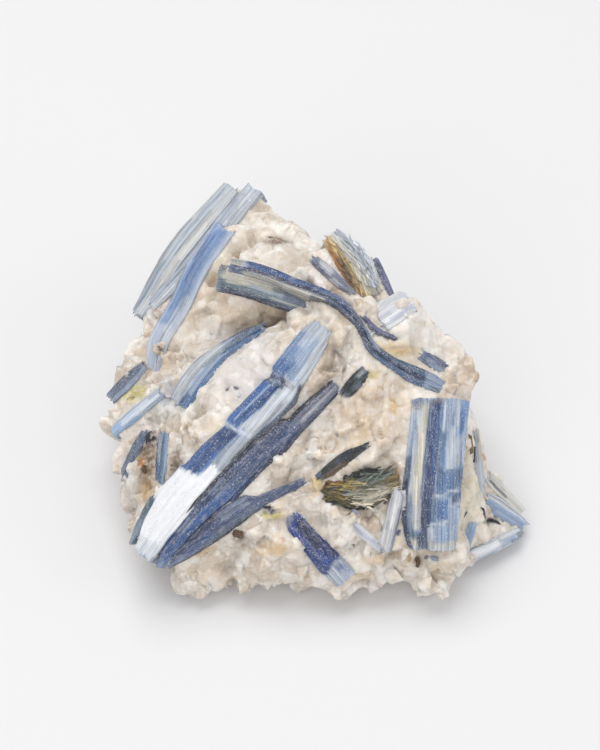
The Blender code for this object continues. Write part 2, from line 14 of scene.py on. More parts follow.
import bmesh
import bpy
from mathutils import Matrix, Vector, noise
from mathutils.bvhtree import BVHTree

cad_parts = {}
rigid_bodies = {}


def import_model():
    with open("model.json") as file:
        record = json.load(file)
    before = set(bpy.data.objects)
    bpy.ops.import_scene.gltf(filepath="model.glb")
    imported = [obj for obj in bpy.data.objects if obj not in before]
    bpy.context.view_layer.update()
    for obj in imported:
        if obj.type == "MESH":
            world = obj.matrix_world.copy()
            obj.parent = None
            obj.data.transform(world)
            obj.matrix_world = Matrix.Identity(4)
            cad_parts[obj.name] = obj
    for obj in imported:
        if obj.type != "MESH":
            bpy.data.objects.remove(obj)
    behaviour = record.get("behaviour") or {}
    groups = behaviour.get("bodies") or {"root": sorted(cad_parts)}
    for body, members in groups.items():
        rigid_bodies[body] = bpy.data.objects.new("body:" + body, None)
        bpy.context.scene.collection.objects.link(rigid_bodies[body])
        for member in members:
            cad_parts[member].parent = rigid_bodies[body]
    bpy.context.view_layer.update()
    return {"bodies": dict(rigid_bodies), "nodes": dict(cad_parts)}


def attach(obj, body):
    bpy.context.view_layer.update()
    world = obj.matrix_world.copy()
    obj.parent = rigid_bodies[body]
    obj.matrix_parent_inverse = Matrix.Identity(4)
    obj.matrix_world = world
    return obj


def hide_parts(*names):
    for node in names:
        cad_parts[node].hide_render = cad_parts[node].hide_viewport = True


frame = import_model()

MM = 0.001

# The show face in the frame: its slope, and where its middle lies
SLOPE = math.radians(50)
FACE_MIDDLE = Vector((-3.295, -13.645, 41.0)) * MM
FACE_U = Vector((1, 0, 0))
FACE_V = Vector((0, math.sin(SLOPE), math.cos(SLOPE)))
FACE_W = Vector((0, -math.cos(SLOPE), math.sin(SLOPE)))

# Camera and room
CAMERA_DISTANCE = 380.9 * MM
CAMERA_LENS = 85
FLOOR_SIZE = 4.0
LIGHTS = (                      # name, place, aim, size, watts, colour
    ("window", (-0.15, 0.3, 0.95), (0, 0, 0.02), 0.8, 6.5, (1.0, 0.99, 0.97)),
    ("front_fill", (-0.25, -0.6, 0.55), (0, 0, 0.03), 0.7, 2.1, (1.0, 0.99, 0.98)),
    ("right_fill", (0.6, -0.25, 0.4), (0, 0, 0.03), 0.7, 1.2, (1.0, 0.99, 0.98)),
)

# Blade detail, mm
RUN_STEP = 0.55                 # length of a mesh cell along a blade
ACROSS_STEP = 0.22              # width of a mesh cell across it
DEPTH_STEP = 0.45               # height of a mesh cell on its sides
STRAND = 1.3                    # width of the coarse strands that show as ribs
STRAND_RELIEF = 0.04
THREAD = 0.45                   # width of the fine threads on the strands
THREAD_RELIEF = 0.015
RIB_KEEP = 0.7                  # how much of the height of the solid's ribs the crystal's lamellae keep
RAGGED_KEEP = 0.5               # and of the ragged reach of its ends
MARK_SLANT = 0.2                # how much a mark's ends lean across the blade
MARK_JAG = 1.4                  # how far the strands shift a mark's ends
LAMELLA = 0.8                   # width of the thin plates that differ in tone
EDGE_ROUNDING = 0.12            # how much lower a blade's long edges are
BREAK_REACH = 0.9               # how far from its broken ends a crystal is paler
BREAK_PALENESS = 0.35
DEPTH_SHADE = 0.6               # painted shade: how much of its tone is left low on its sides
SHARES_TRIED = 40               # steps along a path when the nearest place on it is looked for
FIBRE_LEAN = {"mica_lens": 0.3, "rusty_bundle": 0.1}    # how far their fibres stray, radians
FIBRE_COUNT = 420
FIBRE_LENGTH = 5.5              # of the longest

# Quartz detail, mm
QUARTZ_VOXEL = 0.62
POCKET_FILL = 0.45              # how much fatter at their foot the crystals are that fill its pockets
GRAINS = ((5.8, 0.6, 0.42), (2.6, 0.14, 0.2))      # (size, relief, lean) of its grains
BANK_REACH = 6.5                # how far from a blade the quartz banks up against it
BANK_HEIGHT = 2.8               # the most that it is raised there
SEAL_REACH = 0.75               # how far from a blade the quartz is drawn into its side
SEAL_DEPTH = 0.4                # how far into the blade it then reaches
CALM_REACH = 2.2                # how far from a blade the skin becomes rough
LOOSE_GRAINS = 320
KNOBS = 46                      # rounded lumps along the rock's lower edge
KNOB_ZONE = (-34, -16)          # highest v and lowest w at which they start
EDGE_CRYSTALS = 16              # blunt quartz crystals along the rock's lower edge
EDGE_ZONE = (-37, -14)
FLAKE_SIDES = 9
FLAKE_THICK = 0.8               # thickness of the flakes, and how far their middle is sunk
FLAKE_SUNK = 0.15
STAINED_DEPTH = -30             # w below which the quartz has no stains

# Finishes
BUMP_STRENGTH = 0.7
STONE_IOR = 1.5
GRAIN_WOBBLE = 0.6 * MM         # how far the borders of the quartz's drawn grains waver
DARK_BAND = (0.22, 0.31, 0.47)  # what a crystal's tint is multiplied by in its dark bands


def tone(red, green, blue):
    """A linear colour from the everyday 0 to 255 values."""
    return tuple(((c / 255 + 0.055) / 1.055) ** 2.4 if c > 10 else c / 3294.6 for c in (red, green, blue))


TONES = {
    "ink": tone(38, 38, 52),
    "navy": tone(26, 42, 78),
    "deep": tone(30, 62, 112),
    "cobalt": tone(18, 66, 152),
    "royal": tone(44, 98, 162),
    "cornflower": tone(88, 132, 184),
    "powder": tone(140, 164, 194),
    "sky": tone(150, 180, 212),
    "periwinkle": tone(146, 168, 208),
    "slate": tone(84, 100, 128),
    "steel": tone(80, 112, 144),
    "teal": tone(74, 104, 116),
    "grey_green": tone(124, 134, 126),
    "mist": tone(158, 172, 192),
    "pale": tone(184, 200, 220),
    "silver": tone(222, 226, 232),
    "white": tone(248, 249, 251),
    "plum": tone(76, 74, 94),
    "lilac": tone(104, 106, 142),
    "lavender": tone(178, 178, 206),
    "dusk": tone(140, 138, 152),
    "cream": tone(226, 216, 190),
    "straw": tone(222, 196, 120),
    "moss": tone(186, 178, 84),
    "rust": tone(178, 112, 34),
    "brown": tone(104, 76, 44),
    "mica": tone(50, 54, 46),
    "gold": tone(168, 138, 66),
    "olive": tone(96, 90, 56),
    "milk": tone(244, 240, 234),
    "frost": tone(220, 216, 214),
    "ash": tone(206, 209, 210),
    "smoke": tone(150, 134, 120),
    "amber": tone(206, 172, 116),
    "worn": tone(178, 172, 182),
    "sand": tone(216, 203, 187),
    "shell": tone(230, 224, 217),
    "fawn": tone(184, 162, 138),
    "honey": tone(222, 200, 170),
    "chalk": tone(246, 242, 236),
    "biscuit": tone(196, 178, 158),
    "salt": tone(246, 243, 240),
    "sugar": tone(252, 250, 248),
    "tea": tone(182, 162, 140),
}


@dataclass
class Blade:
    """One crystal. Its shape fields say what its solid's do, and marks colour it."""

    name: str
    path: list                    # (u, v, w) of the broad face's middle line, mm
    width: float
    thick: float
    finish: str                   # the record's material slot
    base: str                     # tone of the crystal where nothing marks it
    faces: tuple = (0, 0, 1)
    ends: tuple = (0.8, 0.8)
    outline: tuple = ()           # stations (share of length, left, right, lift)
    profile: tuple = ()
    ribs: int = 4
    stations: int = 3
    relief: float = 0.5
    ragged: float = 1.0
    in_world: bool = False
    marks: tuple = ()             # (tone, from, to, right, left[, strength]) in shares of length and width
    splinters: int = 4            # loose splinters along its broken ends
    sunk: tuple = (1, 1)          # how much of the way the quartz banks up to it, at its start and end


BLADES = [
    Blade("broad_blade", [(-34.1, -39, 0.2), (-14.7, -14.2, 2.2), (4.7, 10.7, 1)], 9, 5, "mid_blue",
          "powder", faces=(-0.1, 0.05, 1), ribs=4, profile=(-0.6, 0, -0.15, 0.1, -0.4), ragged=0.7,
          outline=((0, 2.2, -2.4, -0.6), (0.1, 4.4, -2.1, -0.2), (0.22, 5.9, -2.5, 0),
                   (0.325, 5.5, -2.9, 0), (0.34, 4.9, -2.9, -0.3), (0.43, 4.6, -3, -0.2),
                   (0.53, 3.3, -3.4, -0.3), (0.55, 4, -3.6, -0.9), (0.63, 3.4, -4.9, -0.6),
                   (0.735, 2.7, -5.8, -0.6), (0.745, 2.2, -5.6, -0.9), (0.775, 2.4, -5, -0.8),
                   (0.785, 3, -4.8, -0.4), (0.9, 3, -4, -0.3), (0.96, 2.8, -3.4, -0.3),
                   (1, 1.8, -2.3, -0.6)),
          # the silver and white of the lower third are a painted reflection of the window on its flat
          # cleavage face
          marks=(("silver", 0, 0.36, 0, 1), ("white", 0, 0.1, 0.1, 1, 0.55),
                 ("white", 0.06, 0.335, 0.05, 1), ("white", 0.3, 0.4, 0, 0.45),
                 ("royal", 0.34, 0.54, 0.5, 1), ("deep", 0.34, 0.54, 0.58, 0.8, 0.7),
                 ("deep", 0.45, 0.54, 0.5, 1, 0.7), ("mist", 0.395, 0.54, 0, 0.48),
                 ("ash", 0.395, 0.54, 0, 0.36, 0.6), ("white", 0.538, 0.549, 0, 1, 0.6),
                 ("royal", 0.55, 0.75, 0.58, 1), ("deep", 0.58, 0.75, 0.62, 0.76, 0.6),
                 ("pale", 0.57, 0.745, 0.78, 0.83, 0.8), ("ash", 0.55, 0.785, 0.12, 0.56, 0.95),
                 ("silver", 0.58, 0.76, 0.3, 0.42, 0.8), ("dusk", 0.56, 0.72, 0.16, 0.22, 0.6),
                 # the ink strip along the lower-right edge, from 0.44 to 0.8, is painted shade in the groove
                 # beside the groove blade
                 ("ink", 0.44, 0.8, -0.1, 0.1, 0.9), ("navy", 0.74, 0.775, 0.5, 1.1, 0.9),
                 ("pale", 0.75, 0.757, 0.6, 0.95, 0.8), ("ink", 0.755, 0.765, 0.2, 0.55, 0.6),
                 ("ash", 0.79, 0.99, 0, 0.3, 0.8), ("royal", 0.785, 0.84, 0.55, 1, 0.8),
                 ("mist", 0.8, 0.98, 0.3, 0.45, 0.6), ("pale", 0.82, 0.95, 0.6, 0.66, 0.6),
                 ("cornflower", 0.83, 0.97, 0.66, 1, 0.3), ("pale", 0.84, 1, 0.35, 0.62, 0.7),
                 ("silver", 0.9, 0.96, 0.5, 0.8, 0.5), ("ash", 0.95, 1.1, 0, 1, 0.7)),
          sunk=(0.2, 1.1)),
    Blade("groove_blade", [(-30.1, -41.5, -1.2), (-10.8, -22, 0.6), (8.6, -2.4, -0.6)], 6, 4.5,
          "deep_blue", "deep", faces=(0.25, -0.25, 1), ribs=3, profile=(-0.5, 0.1, 0, -0.6), ragged=0.7,
          outline=((0, 1.4, -1.2, -0.4), (0.064, 2.9, -0.8, -0.3), (0.19, 4.4, -0.7, 0),
                   (0.29, 5.1, -0.9, 0.2), (0.375, 5.2, -1.5, 0.3), (0.475, 5.4, -1.3, 0.1),
                   (0.57, 5, -1.4, 0), (0.67, 4.8, -2, 0), (0.745, 4.1, -1.8, -0.2),
                   (0.765, 2.7, -1.7, -0.5), (0.85, 2.7, -1.7, -0.4), (1, 2, -1.4, -0.6)),
          marks=(("royal", 0.02, 0.5, 0.2, 0.62, 0.9), ("pale", 0, 0.05, 0, 1, 0.6),
                 ("royal", 0.03, 0.14, 0.25, 0.85, 0.8), ("dusk", 0.17, 0.27, 0.55, 0.74, 0.6),
                 ("slate", 0.12, 0.3, 0.66, 0.8, 0.6), ("mist", 0.16, 0.24, 0.5, 0.8, 0.5),
                 ("slate", 0.42, 0.7, 0.15, 0.8, 0.6), ("mist", 0.36, 0.44, 0.5, 0.9, 0.5),
                 # the ink strip from 0.86 across is painted shade in the groove beside the broad blade
                 ("ink", 0.02, 0.74, 0.86, 1.1, 0.9), ("ink", 0.05, 0.5, 0.62, 0.68, 0.8),
                 ("navy", 0.1, 0.3, 0.0, 0.2, 0.8), ("dusk", 0.76, 1, 0.2, 0.84),
                 ("slate", 0.72, 0.8, 0, 1, 0.7), ("ash", 0.8, 1, 0.4, 0.55, 0.7),
                 ("plum", 0.78, 1, 0.62, 0.7, 0.7), ("lilac", 0.5, 0.7, 0.7, 0.86, 0.5),
                 # the ink strips below 0.08 and from 0.86 across are painted shade in the grooves beside the
                 # under blade and the broad blade
                 ("ink", 0.3, 1.1, -0.1, 0.08, 0.9), ("ink", 0.74, 1.1, 0.86, 1.1)), sunk=(0.1, 1)),
    Blade("under_blade", [(-28.5, -41.7, -2.2), (-13.7, -32.4, -1.2), (1.1, -23.2, -2)], 5, 4, "steel_blue",
          "slate", faces=(0.2, -0.4, 1), ribs=3, profile=(-0.4, 0.1, -0.3, -0.2), ragged=0.5,
          outline=((0, 1, -0.8, -0.5), (0.05, 1.8, -0.9, -0.3), (0.2, 3.1, -1.1, 0),
                   (0.345, 4.4, -1.1, 0), (0.54, 5.1, -0.8, 0), (0.64, 4.6, -0.3, 0.1),
                   (0.7, 3.2, -0.2, 0.3), (0.87, 2.1, -0.4, 0.6), (1, 1.1, -0.7, 0.6)),
          # the navy strip along the upper-left edge, from 0.75 across, is painted shade beside the groove
          # blade
          marks=(("deep", 0.02, 0.6, 0.4, 1.1, 0.8), ("navy", 0.04, 0.45, 0.75, 1.1, 0.85),
                 ("royal", 0.05, 0.35, 0.3, 0.5, 0.5), ("mist", 0, 0.12, 0.1, 0.6, 0.5),
                 ("mist", 0.46, 0.66, 0.6, 0.95, 0.5), ("deep", 0.66, 1, 0.3, 1, 0.5),
                 # the ink strip along the lower-right edge is painted shade of the blade's side
                 ("ink", 0, 1.1, -0.1, 0.12, 0.95)), sunk=(0.4, 0.4)),
    Blade("bent_blade", [(-15.2, 24.3, -3.5), (-8.2, 22.5, -2), (-1.1, 19.8, -0.5), (6.9, 16.7, 0.8),
                         (11, 13.4, 0.5), (13.8, 9.7, -0.8), (15.8, 6.2, -1.5), (19.9, 3, -3),
                         (25.7, 0, -4.8), (31.5, -2.6, -7)], 4, 4, "deep_blue", "slate",
          faces=(0.1, 0.4, 1), ribs=3, profile=(-0.5, 0.1, -0.3, -0.1), ragged=0.7,
          outline=((0, 1.4, -1.4, -0.2), (0.08, 1.6, -1.6, 0), (0.2, 1.5, -1.5, 0),
                   (0.32, 1.4, -1.4, 0), (0.43, 1.3, -1.3, 0), (0.52, 1.1, -1.1, 0), (0.58, 0.9, -1, 0),
                   (0.63, 1, -1.1, 0), (0.68, 1.1, -1.3, 0), (0.77, 1.3, -1.5, 0),
                   (0.88, 1.9, -2.1, 0.1), (0.95, 2, -1.8, 0), (1, 1.5, -1.2, -0.3)),
          marks=(("royal", 0.04, 0.5, 0.54, 1, 0.85), ("cream", 0, 0.05, 0.5, 1.1, 0.8),
                 ("slate", 0, 0.08, -0.1, 0.5, 0.8), ("silver", 0.045, 0.07, 0.5, 1, 0.7),
                 ("navy", 0.08, 0.44, 0.7, 0.76, 0.7), ("ink", 0.08, 0.6, 0.94, 1.1, 0.6),
                 ("cream", 0.06, 0.4, -0.1, 0.2, 0.7), ("navy", 0.07, 0.66, 0.28, 0.56),
                 ("navy", 0.1, 0.62, 0.34, 0.52, 1), ("ink", 0.2, 0.62, 0.36, 0.46, 0.8),
                 ("deep", 0.06, 0.4, 0.8, 1, 0.5), ("dusk", 0.4, 0.58, 0.66, 1.1, 0.6),
                 ("pale", 0.58, 0.7, 0.66, 1.1, 0.5), ("ink", 0.34, 0.62, -0.1, 0.1, 0.8),
                 ("navy", 0.6, 0.96, 0.34, 0.58), ("steel", 0.7, 0.96, 0, 0.34, 0.8),
                 ("royal", 0.66, 0.96, 0.58, 0.7, 0.6), ("teal", 0.72, 0.9, 0.6, 1.1, 0.5),
                 ("pale", 0.92, 1.05, 0, 1, 0.7)), sunk=(0.2, 1)),
    Blade("grey_blade", [(-18.1, 20, -4.5), (-10.4, 18.2, -3.2), (-2.2, 15.4, -3), (5.4, 13.5, -5)],
          4.6, 5.5, "steel_blue", "grey_green", faces=(-0.1, -0.45, 1), ends=(0.95, 0.6), ribs=4, stations=5,
          marks=(("cream", 0.04, 0.5, 0.62, 1.1, 0.85), ("pale", 0.3, 0.9, 0.5, 0.8, 0.6),
                 ("teal", 0, 0.08, 0, 0.8, 0.8), ("navy", 0.03, 0.8, -0.1, 0.34, 0.9),
                 ("teal", 0.1, 0.9, 0.34, 0.6, 0.7), ("slate", 0.6, 1.1, 0.2, 1.1, 0.8),
                 ("ink", 0.06, 0.8, -0.1, 0.12, 0.9), ("cream", 0.5, 0.8, 0.4, 0.5, 0.6),
                 ("ink", 0.3, 1, -0.1, 0.3, 0.5)), sunk=(0, 0.8)),
    Blade("lilac_sliver", [(13.8, 12.8, -1.3), (16.8, 9.8, -2.8), (21.5, 8, -5)], 1.6, 2.5, "deep_blue",
          "lilac", faces=(0.3, 0.3, 1), ends=(0.6, 0.6), ribs=2, stations=5, relief=0.3, ragged=0.4,
          marks=(("ink", 0, 1, -0.1, 0.3, 0.6),), splinters=3),
    Blade("crest_shard", [(17, 12.4, -4.3), (24, 16.7, -8.5)], 4.4, 3.5, "silver_blue", "silver",
          faces=(0.1, 0.4, 1),
          outline=((0, 3.2, -3.4, 0.3), (1, 3, -3, 0.3)),
          sunk=(0, 0),
          marks=(("milk", -0.1, 1.1, -0.1, 1.1, 0.6), ("lavender", 0.1, 0.9, 0.2, 0.27, 0.7),
                 ("lavender", 0, 1, 0.5, 0.56, 0.7), ("mist", 0.3, 1, 0.7, 0.74, 0.5))),
    Blade("crest_stub", [(26.8, 4.6, -8.2), (34.5, 0.3, -11)], 3.4, 3.4, "steel_blue", "slate",
          faces=(0.4, 0.3, 1), ends=(0.7, 0.8), ribs=3, stations=3,
          marks=(("pale", 0.2, 0.9, 0, 0.5, 0.5), ("navy", 0.5, 1, 0.4, 0.7, 0.6))),
    Blade("rusty_bundle", [(7, 31.3, -11), (11, 26.6, -8.5), (14, 21.7, -7.5), (16, 17.6, -8)], 8.2, 5,
          "rusty_fibre", "silver", faces=(0.2, 0.6, 1), ends=(0.45, 0.75), ribs=6, stations=5, relief=0.9,
          ragged=1.3, splinters=0,
          marks=(("cream", 0, 1, 0.3, 0.6, 0.7), ("straw", 0, 0.95, -0.1, 0.32, 0.8),
                 ("slate", 0.3, 0.9, 0.7, 0.76, 0.6), ("amber", 0.05, 0.85, -0.1, 0.24, 0.95),
                 ("rust", 0.2, 0.8, -0.1, 0.14, 0.8), ("brown", 0.4, 0.64, 0.06, 0.18),
                 ("straw", 0.85, 1.1, 0.4, 1.1, 0.4))),
    Blade("grey_fragment", [(3, 25.6, -7), (11.3, 18.2, -4.7)], 2.6, 3, "steel_blue", "slate",
          faces=(-0.1, 0.5, 1), ends=(0.8, 0.5), ribs=3, stations=4,
          ragged=1.6, splinters=12,
          marks=(("dusk", -0.1, 1.1, -0.1, 1.1, 0.5), ("frost", 0.1, 0.45, 0.3, 1.1, 0.7),
                 ("teal", 0, 0.3, 0, 0.5, 0.5), ("frost", 0.5, 0.75, -0.1, 0.4, 0.6),
                 ("ink", 0.4, 0.95, 0.4, 0.6, 0.5))),
    Blade("ridge_sliver", [(17, 25.7, -10.8), (20.6, 17.3, -9.5)], 1.8, 3, "deep_blue", "lilac",
          faces=(0.6, 0.4, 1), ribs=2, stations=3, relief=0.3,
          marks=(("ink", 0, 0.4, 0, 0.6, 0.6),), splinters=3),
    Blade("dark_speck", [(9.6, -4.2, 0.4), (14, 0.8, -0.3)], 3.2, 3, "dark_mica", "mica", ribs=3,
          stations=3, ragged=1.4,
          marks=(("teal", 0.2, 0.9, 0.2, 0.6, 0.6), ("ink", 0, 0.6, 0.5, 1, 0.5),
                 ("dusk", 0.35, 0.6, -0.1, 0.3, 0.7), ("frost", 0.7, 0.95, 0.5, 0.8, 0.6)),
          splinters=8),
    Blade("block_blade", [(29.7, -5.2, -2.3), (29.4, -21, -0.6), (29.1, -37.6, 0.2)], 13, 7, "mid_blue",
          "powder", faces=(0.08, 0.05, 1), ribs=8, ragged=0.6,
          profile=(-1.6, -0.1, 0.1, 0, -0.4, -0.35, 0, -0.1, -0.5),
          outline=((0, 7.2, -5.2, -0.2), (0.2, 6.7, -5.8, 0), (0.38, 6.1, -6.4, 0), (0.6, 5.6, -7.2, 0),
                   (0.8, 5.2, -7.2, 0), (0.83, 5.1, -7, -0.3), (0.93, 4.8, -6.4, -0.3),
                   (1, 4.4, -5.4, -0.6)),
          marks=(("pale", -0.1, 1.1, 0.5, 1.1, 0.5), ("ash", 0, 0.66, 0, 0.3, 0.9),
                 ("powder", 0.05, 0.5, 0.03, 0.1, 0.5), ("cornflower", 0.1, 0.45, 0.05, 0.08, 0.5),
                 ("cream", 0.03, 0.5, 0.18, 0.28, 0.9), ("cream", 0.4, 0.84, 0.14, 0.32, 0.6),
                 ("slate", 0.6, 0.9, 0.1, 0.16, 0.6), ("plum", 0, 0.66, 0.29, 0.33, 0.8),
                 ("deep", 0, 0.22, 0.34, 0.5, 0.95), ("deep", 0.2, 0.7, 0.34, 0.54, 0.95),
                 ("deep", 0.68, 0.87, 0.31, 0.5, 0.95), ("navy", 0.3, 0.68, 0.36, 0.42, 0.7),
                 ("navy", 0.66, 0.87, 0.33, 0.45, 0.6), ("navy", 0.87, 1, 0.18, 0.42, 0.85),
                 ("royal", 0.1, 0.5, 0.44, 0.48, 0.7), ("steel", 0.02, 0.3, 0.5, 0.56, 0.8),
                 ("silver", 0, 0.22, 0.565, 0.6, 0.9), ("steel", 0, 0.25, 0.6, 0.63, 0.6),
                 ("mist", 0, 0.2, 0.64, 0.74, 0.7), ("steel", 0.1, 0.25, 0.72, 0.76, 0.6),
                 ("ash", 0.02, 0.2, 0.77, 0.84, 0.8), ("royal", 0.1, 0.25, 0.86, 0.94, 0.8),
                 ("cornflower", 0, 0.14, 0.85, 1.1, 0.7), ("steel", 0.22, 0.5, 0.55, 0.66, 0.9),
                 ("ash", 0.2, 0.53, 0.7, 0.79, 0.8), ("ash", 0.27, 0.46, 0.8, 0.93, 0.7),
                 ("silver", 0.3, 0.42, 0.74, 0.77, 0.7), ("mist", 0.25, 0.5, 0.92, 1.1, 0.6),
                 ("steel", 0.48, 0.66, 0.56, 1.1, 0.9), ("cornflower", 0.5, 0.66, 0.6, 0.85, 0.5),
                 ("silver", 0.64, 0.655, 0.5, 0.75, 0.9), ("silver", 0.625, 0.64, 0.75, 1.1, 0.9),
                 ("royal", 0.68, 0.82, 0.6, 0.78, 0.85), ("steel", 0.66, 0.85, 0.5, 0.6, 0.8),
                 ("navy", 0.66, 0.72, 0.85, 0.93, 0.9), ("steel", 0.66, 0.75, 0.93, 1.1, 0.6),
                 ("silver", 0.72, 0.735, 0.8, 1.1, 0.7), ("silver", 0.82, 0.84, 0.48, 0.8, 0.8),
                 ("mist", 0.84, 1, 0.42, 1.1, 0.8), ("powder", 0.86, 0.98, 0.66, 0.85, 0.7),
                 ("ash", 0.85, 1, 0.42, 0.55, 0.7), ("slate", 0.35, 1, -0.1, 0.1, 0.9),
                 ("navy", 0.5, 1, -0.1, 0.07, 0.9), ("cream", 0.96, 1.1, 0.45, 1, 0.6),
                 ("brown", 0, 0.03, 0.3, 0.6, 0.6), ("plum", -0.1, 0.04, 0, 0.2, 0.5),
                 ("teal", 0.85, 0.91, 0.05, 0.22, 0.8), ("cream", 0.9, 0.97, 0.08, 0.2, 0.7))),
    Blade("pale_shard", [(20.9, -24.8, 0.3), (18.2, -38, 0)], 2.4, 3.6, "silver_blue", "silver",
          faces=(-0.3, 0, 1), ribs=2, stations=3, relief=0.3, sunk=(0.6, 0.6),
          outline=((0, 0.9, -1.2, 0), (0.1, 1.5, -1.4, 0), (0.9, 1.3, -1.7, 0), (1, 0.9, -1.5, 0)),
          marks=(("frost", -0.1, 1.1, -0.1, 0.9, 0.7), ("dusk", 0.1, 0.7, 0.25, 0.35, 0.5),
                 ("milk", 0.2, 0.9, 0.5, 0.6, 0.6), ("slate", 0, 1, 0.9, 1.1, 0.6)), splinters=2),
    Blade("deep_stub", [(-2.3, -31, 0.6), (9.6, -45, -2.4)], 5.9, 5, "deep_blue", "deep",
          faces=(0.1, -0.15, 1), ribs=4, profile=(-0.7, 0.2, -0.3, 0.1, -0.5), ragged=1,
          outline=((0, 2.3, -1, -0.4), (0.1, 2.5, -1.8, 0), (0.28, 2.5, -2, 0), (0.5, 2.9, -2.2, 0.1),
                   (0.72, 3.2, -2.5, 0), (0.75, 3.2, -2.5, -0.8), (1, 3.2, -1.8, -0.8)),
          marks=(("cobalt", 0.06, 0.78, -0.1, 1.1, 0.9), ("deep", 0.3, 0.74, 0.05, 0.36, 0.6),
                 ("navy", 0.12, 0.52, 0.42, 0.9, 0.9), ("navy", 0.5, 0.74, 0.7, 1, 0.7),
                 ("dusk", -0.1, 0.06, 0, 1, 0.8), ("silver", 0.78, 1.1, 0, 1, 0.85),
                 ("royal", 0.8, 0.9, 0.5, 0.8, 0.6), ("cornflower", 0.84, 1, 0.7, 0.9, 0.5)),
          sunk=(0.7, 0.7)),
    Blade("mica_lens", [(4.5, -24.2, -0.8), (12.5, -24.4, 1), (21.3, -22.5, -0.6)], 9.6, 6, "dark_mica",
          "olive", faces=(0, 0.1, 1), ends=(0.2, 0.25), ribs=6, stations=5, relief=0.8, ragged=0.4,
          splinters=0,
          marks=(("gold", 0.14, 0.6, 0.45, 0.78, 0.7), ("straw", 0.2, 0.45, 0.5, 0.7, 0.7),
                 ("grey_green", 0.45, 0.95, 0.5, 0.85, 0.8), ("grey_green", 0, 0.3, 0.3, 0.6, 0.6),
                 ("mica", 0.3, 0.9, 0.84, 1.1, 0.9), ("mica", 0.42, 0.62, 0.72, 1, 0.9),
                 ("mica", -0.1, 0.1, 0, 0.9, 0.8), ("straw", 0.7, 0.9, 0.5, 0.6, 0.5),
                 ("gold", 0.1, 0.3, 0.15, 0.4, 0.7), ("cream", 0.34, 0.9, 0.3, 0.5, 0.6),
                 ("cream", 0.4, 0.98, 0.1, 0.32, 0.95), ("mica", 0.14, 0.6, -0.1, 0.12, 0.9),
                 ("gold", 0.88, 1.1, 0, 1, 0.8), ("rust", 0.1, 0.18, 0.6, 0.9, 0.6)), sunk=(0.3, 0.4)),
    Blade("mica_tail", [(3.9, -21.7, 0.9), (9.3, -18, 1.3), (14.5, -15.2, 0.9)], 2.4, 3, "dark_mica",
          "mica", ribs=3, relief=0.5, ragged=1.4, splinters=12, sunk=(0.4, 0.5),
          outline=((0, 0.5, -1.2, 0), (0.25, 1, -1.9, 0), (0.5, 1.2, -1.5, 0), (0.75, 1.1, -1, 0),
                   (1, 0.5, -0.4, 0)),
          marks=(("slate", 0.4, 0.7, 0.6, 0.8, 0.4), ("smoke", 0.1, 0.5, 0.3, 0.5, 0.7),
                 ("brown", 0, 0.5, 0.1, 0.35, 0.7), ("ink", 0.5, 1, 0.2, 1, 0.7),
                 ("gold", 0.05, 0.4, 0, 0.12, 0.6))),
    Blade("lavender_sliver", [(11.2, -31.7, 0.6), (17.5, -37.6, 0.4)], 2.2, 3, "silver_blue", "ash",
          ends=(0.5, 0.6), ribs=2, stations=3, relief=0.3, splinters=3,
          marks=(("frost", -0.1, 1.1, -0.1, 1.1, 0.6), ("lavender", 0, 1, 0.35, 0.65, 0.7))),
    Blade("steel_blade", [(-8.3, 10.8, -5.5), (-16.9, 5.5, -7), (-22.5, 0.4, -8.6), (-27.4, -6.4, -10.6)],
          6, 4.4, "steel_blue", "steel", faces=(-0.45, 0.35, 1), ribs=4, profile=(-0.4, 0, 0.2, -0.5, -0.3),
          outline=((0, 0.8, -0.9, -0.4), (0.15, 1.7, -1.7, 0), (0.4, 2.1, -2.1, 0), (0.65, 3, -3, 0),
                   (0.85, 3.1, -3.1, 0), (1, 2.4, -2.6, -0.3)),
          marks=(("ink", 0.05, 0.4, -0.1, 0.14, 0.9), ("cornflower", 0.05, 1, 0.6, 1, 0.6),
                 ("slate", 0, 0.3, 0.1, 0.7, 0.5), ("mist", 0.25, 0.8, 0.05, 0.45, 0.8),
                 ("ash", 0.36, 1.1, 0, 0.56, 0.9), ("pale", 0.4, 0.9, 0.5, 0.78, 0.9),
                 ("teal", 0.2, 0.6, 0.45, 0.6, 0.6), ("royal", 0.7, 1, 0.8, 1.1, 0.7))),
    Blade("long_back_blade", [(-17.4, 33.8, -24), (-24, 24.2, -23.5), (-27.9, 16, -24), (-32.6, 8, -25.5),
                              (-33.8, 1.2, -27)], 6, 4.4, "pale_blue", "periwinkle", faces=(-0.5, 0.3, 1),
          ends=(0.95, 0.8), ribs=4, stations=6, relief=0.5,
          marks=(("cornflower", 0.03, 0.6, 0.15, 0.75, 0.7), ("ash", 0, 1, 0.86, 1.1, 0.6),
                 ("royal", 0.06, 0.4, 0.3, 0.4, 0.7), ("mist", 0, 0.7, 0.66, 0.9, 0.5),
                 ("ash", 0.1, 0.9, 0, 0.14, 0.5), ("ash", 0.5, 1, 0.5, 1, 0.5),
                 ("ink", 0.3, 0.55, 0, 0.1, 0.4), ("silver", 0.7, 1.1, 0, 1, 0.6))),
    Blade("inner_back_blade", [(-11, 43.8, -32.5), (-23.4, 28.8, -30.5), (-35, 16.5, -33)], 6, 4.2,
          "steel_blue", "silver", faces=(-0.4, 0.5, 1), ends=(0.8, 0.5), ribs=3, stations=5,
          marks=(("ash", 0, 1, 0, 1, 0.6), ("mist", 0.1, 1, 0.1, 0.4, 0.5),
                 ("slate", 0.3, 1, 0, 0.1, 0.5), ("teal", 0.6, 1, 0.4, 0.5, 0.5),
                 ("steel", 0.1, 0.8, 0.66, 0.72, 0.6))),
    Blade("outer_back_blade", [(-16.6, 44.3, -35.5), (-28.6, 30, -33.5), (-39, 14.6, -37)], 7.2, 4.6,
